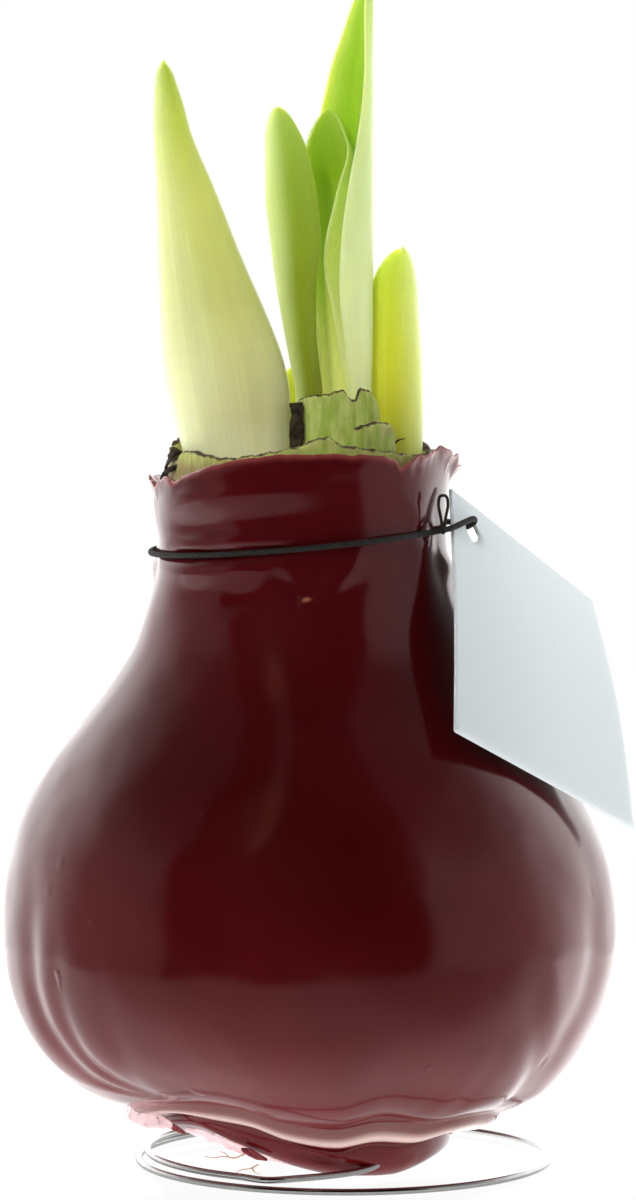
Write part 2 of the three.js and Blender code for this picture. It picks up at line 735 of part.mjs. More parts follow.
function tagCard() {
  const shares = Array.from({ length: TAG_GRID + 1 }, (_, i) => i / TAG_GRID);
  const face = (lift) => shares.map((down) => shares.map((across) => tagPoint(across, down, lift)));
  const card = solidOf(sheet(face(TAG_THICKNESS / 2), face(-TAG_THICKNESS / 2)));
  const punch = bar(
    [tagPoint(TAG_HOLE.across, TAG_HOLE.down, -3), tagPoint(TAG_HOLE.across, TAG_HOLE.down, 3)],
    TAG_HOLE.diameter, 16);
  return geometryOf(card.subtract(solidOf(punch)));
}

// The cord's middle line, once round the neck against the clock from the tag's hole.
function cordPath() {
  const points = [];
  const holeTop = TAG_HOLE.down - 0.026;
  points.push(tagPoint(TAG_HOLE.across, holeTop, -1.6));
  points.push(new THREE.Vector3(18.6, 1.2, 103.1));
  for (let angle = 24; angle <= 324; angle += 15) {
    const x = CORD_X + CORD_REACH * Math.cos(rad(angle));
    const y = CORD_REACH * Math.sin(rad(angle));
    points.push(new THREE.Vector3(x, y, cordHeight(x)));
  }
  points.push(new THREE.Vector3(16.4, -13.9, 103.2));
  points.push(tagPoint(0.1, holeTop, 1.5));
  points.push(tagPoint(TAG_HOLE.across - 0.01, holeTop, 0.9));
  return new THREE.CatmullRomCurve3(points, true, 'centripetal');
}

function neckCord() {
  const loop = solidOf(new THREE.TubeGeometry(cordPath(), 76, CORD_DIAMETER / 2, 6, true));
  const foot = new THREE.Vector3(15.6, -14.6, 103.1);
  const outline = [
    [0, -0.1], [0.25, 0.35], [0.5, 0.75], [0.3, 0.98], [-0.3, 0.98], [-0.5, 0.75], [-0.25, 0.35],
  ];
  const teardrop = outline.map(([across, up]) => foot.clone().add(
    new THREE.Vector3(across * END_LOOP_WIDTH, 0.9 * up, up * END_LOOP_HEIGHT)));
  const curve = new THREE.CatmullRomCurve3(teardrop, true, 'centripetal');
  const endLoop = solidOf(new THREE.TubeGeometry(curve, 20, END_LOOP_STRAND / 2, 6, true));
  return geometryOf(loop.add(endLoop));
}

// ---------------------------------------------------------------- wire stand

function wirePath() {
  const pin = PIN.map((xyz) => new THREE.Vector3(...xyz));
  const low = WIRE_DIAMETER / 2;
  const high = low + WIRE_DIAMETER + GAP;
  const turns = [];
  for (let angle = UPPER_TURN_START; angle >= LOWER_TURN_END; angle -= WIRE_STEP) {
    const drop = smooth(clamp01((DROP_START - angle) / (DROP_START - LOWER_TURN_START)));
    const radius = lerp(UPPER_TURN_RADIUS, STAND_RADIUS, drop);
    turns.push(new THREE.Vector3(
      radius * Math.cos(rad(angle)), radius * Math.sin(rad(angle)), lerp(high, low, drop)));
  }
  const lead = new THREE.CatmullRomCurve3(pin, false, 'centripetal').getSpacedPoints(16);
  return { lead, all: [...lead, ...turns] };
}

// ---------------------------------------------------------------- assembly

const wire = wirePath();
const beyondPin = wire.lead[0].clone().multiplyScalar(2).sub(wire.lead[1]);
const pinHole = solidOf(bar(
  [beyondPin, ...wire.lead.slice(0, -2)], WIRE_DIAMETER + 2 * GAP + 0.1, WIRE_SIDES));

const wax = coatShell().subtract(pinHole);

let bulb = flesh();
SCALES.forEach((scale) => {
  bulb = bulb.add(scaleWall(scale));
});
bulb = bulb.subtract(pinHole).subtract(solidOf(budShoot(GAP)));
Object.values(LEAVES).forEach((leaf) => {
  bulb = bulb.subtract(solidOf(leafBlade(leaf, GAP)));
});

const green = { roughness: 0.45 };
const leafColors = {
  leaf_round: '#9db541',
  leaf_cupped: '#6f9c1f',
  leaf_inner: '#b6c85a',
  leaf_tall: '#a8cc55',
  leaf_right: '#c0cc38',
  leaf_back: '#d8d83c',
};

addPiece('wax_coat', geometryOf(wax), { color: '#4a0d12', roughness: 0.18 });
addPiece('bulb', geometryOf(largestBody(bulb)), { color: '#b9bd7a', roughness: 0.6 });
addPiece('bud_shoot', budShoot(0), { color: '#c3c860', ...green });
Object.entries(LEAVES).forEach(([name, leaf]) => {
  addPiece(name, leafBlade(leaf, 0), { color: leafColors[name], ...green });
});
addPiece('neck_cord', neckCord(), { color: '#26261c', roughness: 0.8 });
addPiece('tag', tagCard(), { color: '#d7dedd', roughness: 0.5 });
addPiece('wire_stand', bar(wire.all, WIRE_DIAMETER, WIRE_SIDES), {
  color: '#9a9a98', roughness: 0.25, metalness: 1,
});

const box = new THREE.Box3().setFromObject(object);
const middle = box.getCenter(new THREE.Vector3());
object.position.set(-middle.x, -middle.y, -box.min.z);

export default object;
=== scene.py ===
"""Waxed amaryllis bulb with its first shoots, a card tag on an elastic cord, and a coiled wire stand.

Shapes are worked out in millimetres round the middle of the wire stand, with angles in degrees seen
from above (0 is +X, 90 the back, -90 the front), and are placed in the frame in metres.
"""

import math

import bpy
import numpy as np
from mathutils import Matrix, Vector, noise


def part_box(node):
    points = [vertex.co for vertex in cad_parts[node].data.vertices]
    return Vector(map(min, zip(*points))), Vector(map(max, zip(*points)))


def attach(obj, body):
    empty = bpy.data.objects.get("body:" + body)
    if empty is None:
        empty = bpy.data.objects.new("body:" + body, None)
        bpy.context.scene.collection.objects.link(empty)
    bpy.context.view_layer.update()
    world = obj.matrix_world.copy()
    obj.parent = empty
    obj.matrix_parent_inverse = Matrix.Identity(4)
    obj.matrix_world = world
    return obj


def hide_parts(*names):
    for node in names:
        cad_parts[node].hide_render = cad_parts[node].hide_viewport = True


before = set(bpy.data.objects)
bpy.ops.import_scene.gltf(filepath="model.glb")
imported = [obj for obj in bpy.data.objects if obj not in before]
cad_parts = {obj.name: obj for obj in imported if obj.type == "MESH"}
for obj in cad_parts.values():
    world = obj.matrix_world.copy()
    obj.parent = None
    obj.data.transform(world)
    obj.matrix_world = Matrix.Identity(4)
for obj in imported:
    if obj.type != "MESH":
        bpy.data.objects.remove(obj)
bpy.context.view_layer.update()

# Middle of the stand's lower turn, on the floor.
TURN_REACH = 0.03362
stand_low, stand_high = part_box("wire_stand")
RING = Vector(((stand_low.x + stand_high.x) / 2, stand_low.y + TURN_REACH, 0.0))


# ------------ camera

CAMERA_PLACE = (-0.004204, -1.0, 0.17093)
LOOKING_DOWN = 4.58

camera_data = bpy.data.cameras.new("camera")
camera_data.lens = 187.45
camera_data.sensor_width = 36
camera = bpy.data.objects.new("camera", camera_data)
camera.location = RING + Vector(CAMERA_PLACE)
camera.rotation_euler = (math.radians(90 - LOOKING_DOWN), 0, 0)
bpy.context.scene.collection.objects.link(camera)
bpy.context.scene.camera = camera
bpy.context.scene.view_settings.view_transform = "Standard"


# ------------ shader arithmetic


def worked(operation, swapped=False):
    """An operator for shader values, which adds a Math node."""

    def operator(self, other):
        pair = (other, self) if swapped else (self, other)
        return self.graph.node("Math", dict(enumerate(pair)), operation=operation)

    return operator


class Value:
    """A number, colour or vector on its way through a shader. Arithmetic on it adds Math nodes."""

    def __init__(self, graph, socket):
        self.graph = graph
        self.socket = socket

    __add__ = __radd__ = worked("ADD")
    __sub__ = worked("SUBTRACT")
    __rsub__ = worked("SUBTRACT", swapped=True)
    __mul__ = __rmul__ = worked("MULTIPLY")
    __truediv__ = worked("DIVIDE")
    __rtruediv__ = worked("DIVIDE", swapped=True)
    __pow__ = worked("POWER")
    at_least = worked("MAXIMUM")

    def __abs__(self):
        return self.graph.node("Math", {0: self}, operation="ABSOLUTE")

    def step(self, low, high):
        """0 below low, 1 above high, and eased between."""
        values = {"Value": self, "From Min": low, "From Max": high}
        return self.graph.node("MapRange", values, interpolation_type="SMOOTHSTEP")


class Graph:
    """The nodes of one material or of the world."""

    def __init__(self, tree):
        self.tree = tree

    def node(self, kind, values=None, out=0, stops=None, **settings):
        made = self.tree.nodes.new("ShaderNode" + kind)
        for name, setting in settings.items():
            setattr(made, name, setting)
        if stops:
            elements = made.color_ramp.elements
            while len(elements) < len(stops):
                elements.new(1.0)
            for element, (position, colour) in zip(elements, stops):
                element.position = position
                element.color = (*colour, 1)
        for key, value in (values or {}).items():
            self.feed(made.inputs[key], value)
        return Value(self, made.outputs[out])

    def feed(self, socket, value):
        if isinstance(value, Value):
            self.tree.links.new(value.socket, socket)
        elif socket.type == "RGBA":
            socket.default_value = (*value[:3], 1)
        else:
            socket.default_value = value

    def mix(self, share, first, second):
        return self.node("Mix", {0: share, 6: first, 7: second}, out=2, data_type="RGBA")

    def layers(self, base, *coats):
        """Colours laid over a base one after the other, each by its share."""
        for share, colour in coats:
            base = self.mix(share, base, paint(*colour))
        return base

    def noise(self, at, scale, detail=2, roughness=0.5):
        values = {"Vector": at, "Scale": scale, "Detail": detail, "Roughness": roughness}
        return self.node("TexNoise", values)

    def stretched(self, at, scale):
        return self.node("Mapping", {"Vector": at, "Scale": scale})

    def parts(self, vector):
        """The numbers of a vector, one by one."""
        split = self.node("SeparateXYZ", {0: vector}).socket.node
        return [Value(self, output) for output in split.outputs]


class Finish(Graph):
    """One procedural material for a piece."""

    def __init__(self, name, **constants):
        self.material = bpy.data.materials.new(name)
        self.material.use_nodes = True
        super().__init__(self.material.node_tree)
        self.shader = self.tree.nodes["Principled BSDF"]
        self.set(**constants)
        self.at = self.node("TexCoord", out="Object")

    def set(self, **values):
        for name, value in values.items():
            self.feed(self.shader.inputs[name.replace("_", " ")], value)

    def mark(self, name):
        """A number painted on the piece's points."""
        return self.node("Attribute", out="Fac", attribute_name=name)

    def growth(self):
        """The piece's own map: across and along."""
        return self.node("UVMap", uv_map="growth")

    def bump(self, height, distance, strength, under=None):
        values = {"Height": height, "Distance": distance, "Strength": strength}
        if under:
            values["Normal"] = under
        return self.node("Bump", values)


def paint(red, green, blue):
    """A colour as a screen shows it, 0 to 255, as the amounts of light that shaders use."""
    return tuple(
        c / 12.92 if c <= 0.04045 else ((c + 0.055) / 1.055) ** 2.4
        for c in (red / 255, green / 255, blue / 255)
    )


# ------------ shape arithmetic


DEGREES = 57.3  # in a radian


def ease(value):
    """0 below 0, 1 above 1, and eased between."""
    value = np.clip(value, 0, 1)
    return value * value * (3 - 2 * value)


def curved(p, q, leaving, arriving, t):
    """The way from p to q on a smooth curve of given slopes, for t from 0 to 1."""
    h = t * t * (3 - 2 * t)
    return p * (1 - h) + q * h + leaving * t * (1 - t) ** 2 - arriving * t * t * (1 - t)


def rounded(way, power):
    """1 in the middle of a form and 0 where way is -1 or 1, squarer with a higher power."""
    return np.sqrt(np.clip(1 - np.abs(way) ** power, 0, 1))


def one_long(ways):
    return ways / np.linalg.norm(ways, axis=1)[:, None]


def between(rows, key):
    """Values between the rows of a table whose first column rises, on a smooth curve, one column each."""
    table = np.asarray(rows, float)
    keys = np.clip(np.asarray(key, float), table[0, 0], table[-1, 0])
    i = np.clip(np.searchsorted(table[:, 0], keys, side="left") - 1, 0, len(table) - 2)
    p, q = table[i], table[i + 1]
    before, after = table[np.maximum(i - 1, 0)], table[np.minimum(i + 2, len(table) - 1)]
    span = q[..., :1] - p[..., :1]
    t = (keys[..., None] - p[..., :1]) / span
    slope_p = (q - before) / (q[..., :1] - before[..., :1])
    slope_q = (after - p) / (after[..., :1] - p[..., :1])
    values = curved(p, q, span * slope_p, span * slope_q, t)
    return tuple(np.moveaxis(values[..., 1:], -1, 0))


def turned(angle):
    """The same angle, from -180 up to less than 180."""
    return (np.asarray(angle, float) + 180) % 360 - 180


def around(rows, angle):
    """The same round a full circle, for rows from -180 up to less than 180."""
    table = np.array(rows, float)
    turn = np.zeros(table.shape[1])
    turn[0] = 360
    return between([table[-1] - turn, *table, *(table[:2] + turn)], turned(angle))


def wobble(value, *waves):
    """A sum of sines, each given as height, number per turn of 360, and start."""
    return sum(height * np.sin(np.radians(value * count + start)) for height, count, start in waves)


def grain(points, size, seed):
    """Smooth random heights between -1 and 1 at points in millimetres, size apart."""
    start = Vector((seed, 1.7 * seed, -seed))
    flat = np.asarray(points).reshape(-1, 3)
    return np.array([noise.noise(Vector(p) / size + start) for p in flat])


def polar(x, y, radius, angle, height):
    a = np.radians(angle)
    return np.stack([x + radius * np.cos(a), y + radius * np.sin(a), height + 0 * a], axis=-1)


def spaced(points, count, closed=False):
    """Points evenly spaced on the smooth curve through the given ones."""
    given = np.asarray(points, float)
    if closed:
        given = np.vstack([given[-1], given, given[0], given[1]])
    else:
        given = np.vstack([2 * given[0] - given[1], given, 2 * given[-1] - given[-2]])
    fine = []
    for p0, p1, p2, p3 in zip(given, given[1:], given[2:], given[3:]):
        gaps = [max(np.linalg.norm(b - a) ** 0.5, 1e-6) for a, b in ((p0, p1), (p1, p2), (p2, p3))]
        m1 = gaps[1] * ((p1 - p0) / gaps[0] - (p2 - p0) / (gaps[0] + gaps[1])) + (p2 - p1)
        m2 = gaps[1] * ((p3 - p2) / gaps[2] - (p3 - p1) / (gaps[1] + gaps[2])) + (p2 - p1)
        fine.append(curved(p1, p2, m1, m2, np.linspace(0, 1, 24, endpoint=False)[:, None]))
    fine = np.vstack([*fine, given[-2]])
    travelled = np.concatenate([[0], np.cumsum(np.linalg.norm(np.diff(fine, axis=0), axis=1))])
    wanted = np.linspace(0, travelled[-1], count + 1)
    return np.column_stack([np.interp(wanted, travelled, column) for column in fine.T])


# ------------ making a piece


SEAM = 0.000004


def shaped_grid(name, columns, rows, shape, close=True, growth=lambda u, v: (u, v), **marks):
    """A grid whose points are drawn out to a form, its seams merged and its open ends closed.

    shape takes each point's place across and along the grid, 0 to 1, and gives its place in
    millimetres. marks are functions of the same, kept on the points as numbers. growth gives the
    two numbers of the piece's own map.
    """
    bpy.ops.object.select_all(action="DESELECT")
    bpy.ops.mesh.primitive_grid_add(x_subdivisions=columns, y_subdivisions=rows, size=1)
    piece = bpy.context.object
    piece.name = name
    mesh = piece.data
    mesh.name = name
    flat = np.empty(len(mesh.vertices) * 3)
    mesh.vertices.foreach_get("co", flat)
    across, along, _ = flat.reshape(-1, 3).T + 0.5
    u, v = np.round(across * columns) / columns, np.round(along * rows) / rows
    drawn = shape(u, v) / 1000 + np.array(RING)
    mesh.vertices.foreach_set("co", drawn.ravel())
    corners = np.empty(len(mesh.loops), dtype=np.int64)
    mesh.loops.foreach_get("vertex_index", corners)
    mesh.uv_layers[0].name = "growth"
    mesh.uv_layers["growth"].data.foreach_set("uv", np.column_stack(growth(u, v))[corners].ravel())
    for mark, value in marks.items():
        numbers = np.broadcast_to(value(u, v), u.shape).astype(np.float32)
        mesh.attributes.new(mark, "FLOAT", "POINT").data.foreach_set("value", numbers)
    bpy.ops.object.mode_set(mode="EDIT")
    bpy.ops.mesh.select_all(action="SELECT")
    bpy.ops.mesh.remove_doubles(threshold=SEAM)
    if close:
        bpy.ops.mesh.fill_holes(sides=0)
        bpy.ops.mesh.select_all(action="SELECT")
    bpy.ops.mesh.normals_make_consistent(inside=False)
    bpy.ops.object.mode_set(mode="OBJECT")
    bpy.ops.object.shade_smooth()
    return piece


def tube(name, points, radius, sides):
    """A round body along points, its radius a number or a function of the turn and the way along."""
    points = np.asarray(points, float)
    closed = np.linalg.norm(points[0] - points[-1]) < 1e-6
    rows = len(points) - 1
    ahead = np.roll(points, -1, axis=0) - np.roll(points, 1, axis=0)
    if closed:
        ahead[0] = ahead[-1] = points[1] - points[-2]
    else:
        ahead[0], ahead[-1] = points[1] - points[0], points[-1] - points[-2]
    ahead = one_long(ahead)
    upright = abs(ahead[:, 2]).max() > 0.95
    side = one_long(np.cross(ahead, (0, 1, 0) if upright else (0, 0, 1)))
    top = np.cross(side, ahead)
    size = radius if callable(radius) else lambda turn, way: radius + 0 * turn

    def shape(u, v):
        row = np.round(v * rows).astype(int)
        reach = size(360 * u, v)[:, None]
        turn = 2 * np.pi * u[:, None]
        return points[row] + reach * (np.sin(turn) * side[row] + np.cos(turn) * top[row])

    return shaped_grid(name, sides, rows, shape)


def joined(name, pieces):
    """Several pieces of one thing as one object."""
    bpy.ops.object.select_all(action="DESELECT")
    for piece in pieces:
        piece.select_set(True)
    whole = pieces[0]
    bpy.context.view_layer.objects.active = whole
    bpy.ops.object.join()
    whole.name = name
    whole.data.name = name
    return whole


def settled(piece, finish, slot, *nodes):
    """Gives a piece its finish, hides the nodes it stands for, and lets it ride on the part. slot is not
    used.
    """
    piece.data.materials.clear()
    piece.data.materials.append(finish.material)
    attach(piece, "root")
    if nodes:
        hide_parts(*nodes)


# ------------ wax coat

# Cord round the neck: thickness, x of its middle, reach, height at its left and right, and how far above
# and below it the wax is held in.
CORD_DIAMETER = 1.0
CORD_X = -6.7
CORD_REACH = 24.3
CORD_LEFT, CORD_RIGHT = 98.6, 103.0
CORD_HOLD = 8

# Room between fitted parts, and between the bulb and its coat.
GAP = 0.3
COAT_GAP = 0.5
WAX_THICKNESS = 1.5

# Body of the coat: height, radius, and x of its middle.
BODY = [
    (37, 49.6, -5.55), (46, 49, -5.6), (54.5, 46.8, -5.9), (62, 43, -6.1), (70, 37.2, -6.2),
    (77, 31.5, -6.3), (84, 27.3, -6.3), (91, 25, -6.4), (98, 23.5, -6.6), (105, 23.6, -7.1),
    (110, 24.1, -7), (116, 24.8, -7),
]

# Torn rim at the neck: angle, height of the edge, and how far it curls outward.
RIM = [
    (-180, 110.2, 0.5), (-160, 110.6, 0.3), (-140, 111.6, 0.1), (-124, 113.6, 0), (-108, 115, 0),
    (-80, 115.6, 0), (-60, 115.2, 0), (-45, 114, 0.3), (-33, 115.4, 0.5), (-18, 115.2, 0.7),
    (-3, 112.6, 1.5), (12, 113, 0.8), (35, 114.6, 0.2), (62, 113.2, 0.4), (90, 114.8, 0.1),
    (118, 112.6, 0.5), (145, 111.2, 0.2),
]

# Nicks and points of the torn edge: angle, half-width in degrees, and height, negative for a nick.
RIM_NICKS = [
    (-176, 5, 0.9), (-162, 5, -1), (-152, 4, 0.5), (-143, 5, -0.7), (-97, 5, 0.25), (-70, 6, -0.2),
    (-49, 3.5, -1), (-41, 3.5, 0.8), (-33, 2.5, -0.5), (-26, 4, 0.7), (-17, 2.5, -0.9), (-9, 3.5, 0.9),
    (6, 4, -0.8), (24, 5, 0.7), (47, 4, -0.8), (75, 6, 0.6), (104, 5, -0.9), (131, 6, 0.7), (158, 5, -0.6),
]

# x of the middle of the underside.
BASE_X = -4.3

# Underside: for each angle, radius and height of the upper lip, of the lower lip, and of the foot.
UNDERSIDE = [
    (-180, 31, 9.6, 27.6, 6.6, 23.6, 5.2), (-160, 31, 10.6, 27.8, 8.6, 23.4, 6.9),
    (-142, 30.5, 12.3, 27.5, 10.3, 22.6, 7.5), (-124, 29.6, 13.3, 26.8, 9.9, 21.6, 5.5),
    (-112, 29.6, 12.8, 26.5, 9.2, 20.8, 3.9), (-100, 29.8, 11.2, 26.8, 7.5, 20.2, 2.5),
    (-84, 30, 10.5, 27, 6.3, 20, 1.2), (-71, 29.9, 11.8, 26.8, 7, 20, 0.8),
    (-55, 30, 10.5, 26.3, 6.3, 20, 0.6), (-42, 30, 10.6, 25.5, 6.8, 19.5, 1),
    (-26, 30.2, 10.2, 24.6, 6.6, 19.2, 1.6), (-8, 30.5, 8.9, 23.8, 5.3, 19.4, 2.1),
    (20, 30.5, 8.8, 24, 5.1, 19.8, 2.7), (55, 30, 10.2, 25, 6.4, 21, 3), (90, 30, 9.6, 26, 6.2, 22, 3.6),
    (125, 30.5, 11, 27, 7.4, 22.5, 4.2), (155, 31, 9.8, 27.4, 6.8, 23.2, 4.6),
]
HOLLOW = 3.6  # height of the hollow in the foot
TUCK_POWER = 0.61  # how roundly the body tucks in towards the upper lip

# Creases between the soft ribs of the bulb's scales: depth, half-width, height where each fades out, and
# its angle by height. They draw together towards the upper lip.
RIB_CREASES = [
    (0.85, 2.8, 60, [(8, -128), (13.9, -138), (15.8, -146.5), (18.6, -149.3), (21.8, -150.5), (27, -152.3),
     (66, -153)]),
    (0.9, 2.3, 48, [(8, -124), (14.7, -136), (16.8, -138.7), (19.4, -141.8), (23.3, -143), (50, -143)]),
    (0.8, 2.3, 36, [(8, -122), (16.3, -134), (20.7, -131.7), (26, -130.5), (36, -130)]),
    (0.3, 2.4, 30, [(8, -104), (30, -109)]), (0.25, 2.4, 30, [(8, -88), (30, -90)]),
    (0.35, 2.6, 32, [(8, -66), (18, -60), (32, -57)]), (0.4, 2.6, 38, [(8, -58), (18, -51), (38, -49)]),
    (0.6, 3.4, 46, [(8, -30), (16.3, -33.5), (22, -37.5), (26.5, -41.2), (31.7, -43), (48, -44)]),
    (0.55, 3.6, 64, [(8, -25), (18, -28), (23.3, -29), (30, -27), (41.4, -24), (66, -22)]),
    (0.25, 3, 56, [(8, 10), (60, 8)]), (0.8, 2.6, 60, [(8, 34), (60, 30)]),
    (1, 2.6, 52, [(8, 52), (60, 50)]), (0.8, 2.6, 60, [(8, 70), (60, 72)]),
    (1, 2.6, 56, [(8, 92), (60, 90)]), (0.8, 2.6, 62, [(8, 108), (60, 109)]),
    (1, 2.6, 54, [(8, 130), (60, 127)]), (0.9, 2.6, 60, [(8, 150), (60, 146)]),
    (0.7, 2.6, 58, [(8, 172), (18, 170), (60, 166)]),
]

# Drops and pits of the wax on the belly, given as the neck's folds are.
BELLY_DROPS = [
    (-147.2, 48, -146.8, 47, 0.7, 0.25), (-144.2, 51.8, -144, 51.4, 0.5, 0.2),
    (-109.6, 37.8, -109.2, 37.4, 0.7, 0.15), (-84, 32.2, -83.6, 31.8, 0.6, 0.15),
    (-35.9, 55.9, -35.5, 55.5, 0.6, 0.25), (-24.1, 46.4, -23.9, 45.8, 0.7, -0.3),
    (-32.2, 18.8, -31.4, 20.4, 0.7, -0.25),
]

# Folds of the foot under the second lip, given as the neck's folds are.
FOOT_FOLDS = [
    (-104, 5.6, -66, 2.4, 0.9, -0.9), (-100, 6.4, -72, 4.2, 1.2, 0.5), (-140, 9.2, -112, 6, 0.8, -0.4),
    (-60, 4.2, -38, 3.4, 0.9, -0.4), (20, 5, 60, 4, 0.9, -0.5), (100, 5, 150, 5.6, 0.9, -0.5),
]

# Folds and creases of the wax at the neck: from angle and height to angle and height, half-width in
# millimetres, and how far the fold stands out, negative for a crease.
NECK_FOLDS = [
    (-164, 106.8, -76, 112, 6.4, 1.9), (-152, 109.2, -80, 113, 1.1, -0.5),
    (-92, 113.4, -52, 113.6, 2, 0.25), (-150, 102.6, -112, 104.4, 2.4, -0.5),
    (-168, 97, -82, 100.8, 6.6, 2.4), (-126, 91.4, -102, 93.2, 2, -0.4), (-88, 92.6, -62, 100.6, 2.6, 0.9),
    (-102, 96.8, -86, 91.6, 2, -0.5), (-93, 91.9, -87, 91.7, 0.9, 0.6), (-34, 112, -38, 88, 5.5, 0.6),
    (-52, 108.5, -34, 105, 2, 0.35), (-58.9, 98.7, -58.1, 98.3, 0.6, 0.3),
    (-47.6, 104.4, -47, 104, 0.6, 0.3), (-30, 98, 10, 95, 3, 0.6), (20, 107.5, 66, 104.5, 3.4, 0.9),
    (80, 96, 140, 93, 3.4, 0.9), (100, 108.5, 150, 110, 3, 0.8), (160, 97, 190, 96, 3, 0.7),
]

# Heights of the outer face's rows below the rim, shares of the way up from the upper lip to the body's
# widest part, the outer rows that the inner face follows, and the first outer row under the upper lip.
BODY_LEVELS = (106.5, 103, 99, 95, 90, 84, 78, 71, 64, 56, 50, 43.5)
TUCK_SHARES = (1, 0.84, 0.7, 0.58, 0.47, 0.38, 0.3, 0.23, 0.17, 0.12, 0.08, 0.045, 0.02, 0.006)
INNER_ROWS = (1, 2, 4, 6, 8, 10, 12, 14, 16, 18, 20, 22, 24, 33, 40, 42, 43)
LIP_ROW = len(BODY_LEVELS) + len(TUCK_SHARES) + 3


def coat_profile(angle, top):
    """Outer face of the coat from a top height down: rows of radius, height and x of the middle."""
    upper_r, upper_z, lower_r, lower_z, foot_r, foot_z = around(UNDERSIDE, angle)
    level = np.ones_like(upper_r)
    middle = BASE_X * level
    belt_z, belt_r, belt_x = BODY[0]
    rows = []
    for height in (top, top - 0.8, top - 2.4, *BODY_LEVELS):
        radius, x = between(BODY, height * level)
        rows.append((radius, height * level, x))
    for share in TUCK_SHARES:
        out = (1 - (1 - share) ** 2) ** TUCK_POWER
        height = upper_z + (belt_z - upper_z) * share
        x = BASE_X + (belt_x - BASE_X) * ease(share / 0.4) ** 0.5 * level
        rows.append((upper_r + (belt_r - upper_r) * out, height, x))

    def rings(start_r, start_z, end_r, end_z, *shares):
        """Rows on the way from one ring to another, by shares inward and along."""
        for inward, down in shares:
            rows.append((start_r + (end_r - start_r) * inward, start_z + (end_z - start_z) * down, middle))

    band = (0, 0), (0.1, 0.3), (0.3, 0.62), (0.62, 0.88), (1, 1)
    rings(upper_r - 0.45, upper_z - 0.45, lower_r, lower_z, *band)
    rows += [(lower_r - 0.8, lower_z - 0.2, middle), (lower_r - 2.0, lower_z + 0.1, middle)]
    foot = (0, 0), (0.12, 0.35), (0.36, 0.72), (0.72, 0.95), (1, 1)
    rings(lower_r - 1.9, lower_z - 0.55, foot_r, foot_z, *foot)
    rings(foot_r, foot_z, 0, HOLLOW, (0.15, 0.25), (0.6, 0.75), (1, 1))
    return np.array(rows)


def cord_height(x):
    """The cord rises from its left side to its right."""
    share = (x - (CORD_X - CORD_REACH)) / (2 * CORD_REACH)
    return CORD_LEFT + (CORD_RIGHT - CORD_LEFT) * share


def rib_relief(angle, height, radius):
    """The creases between the ribs, each with a soft swelling on both sides."""
    _, lip, *_ = around(UNDERSIDE, angle)
    shift = 0 * angle
    fade_up, fade_down = 34, 2.4
    for depth, half, top, line in RIB_CREASES:
        (at,) = between(line, height)
        far = turned(angle - at) * radius / DEGREES
        fade = ease((top - height) / fade_up) * ease((height - lip - 0.6) / fade_down)
        reach = half * (0.7 + 0.014 * height)
        swelling = np.exp(-(((np.abs(far) - 3.0 * reach) / (1.7 * reach)) ** 2))
        shift = shift - depth * fade * (np.exp(-((far / reach) ** 2)) - 0.35 * swelling)
    return shift


def fold_relief(folds, angle, height, radius):
    """Folds and creases that run from one place of the surface to another."""
    shift = 0 * angle
    for angle_a, height_a, angle_b, height_b, half, out in folds:
        span = np.array([(angle_b - angle_a) * radius / DEGREES, height_b - height_a])
        across = turned(angle - angle_a) * radius / DEGREES
        up = height - height_a
        on = np.clip((across * span[0] + up * span[1]) / (span @ span), 0, 1)
        far = np.hypot(across - on * span[0], up - on * span[1])
        shift = shift + out * ease(1 - far / half) * ease(1.15 - np.abs(2 * on - 1))
    return shift


def rim_edge(angle):
    """Height and outward curl of the torn rim."""
    height, curl = around(RIM, angle)
    for at, half, nick in RIM_NICKS:
        height = height + nick * ease(1 - np.abs(turned(angle - at)) / half)
    torn = 0.3 + 0.7 * ease(1 - np.abs(turned(angle + 10)) / 60)
    ragged = wobble(angle, (0.15, 31, 10), (0.13, 43, 80), (0.1, 71, 200))
    return height + torn * ragged, curl + torn * wobble(angle, (0.35, 17, 40), (0.14, 29, 0))


def coat_rows(angles):
    """Rows of the whole coat from the inside's middle up over the rim and down to the foot's middle."""
    rim, curl = rim_edge(angles)
    smooth_out = coat_profile(angles, rim)
    outer = smooth_out.copy()
    outer[0, 0] += curl - 0.1
    outer[1, 0] += curl * 0.55
    inner = smooth_out[list(INNER_ROWS)]
    along = one_long(np.gradient(inner[:, :2], axis=0))
    inner[:, 0] += along[:, 1] * WAX_THICKNESS
    inner[:, 1] -= along[:, 0] * WAX_THICKNESS
    inner[0, 0] = smooth_out[1, 0] - 0.75 + curl * 0.6
    inner[0, 1] = rim - 0.7
    inner[-1, 0] = 0
    inner[-1, 1] = HOLLOW + WAX_THICKNESS
    edge = outer[:1].copy()
    edge[0, 0] -= 0.35
    edge[0, 1] += 0.05
    return np.concatenate([inner[::-1], edge, outer]), len(inner)


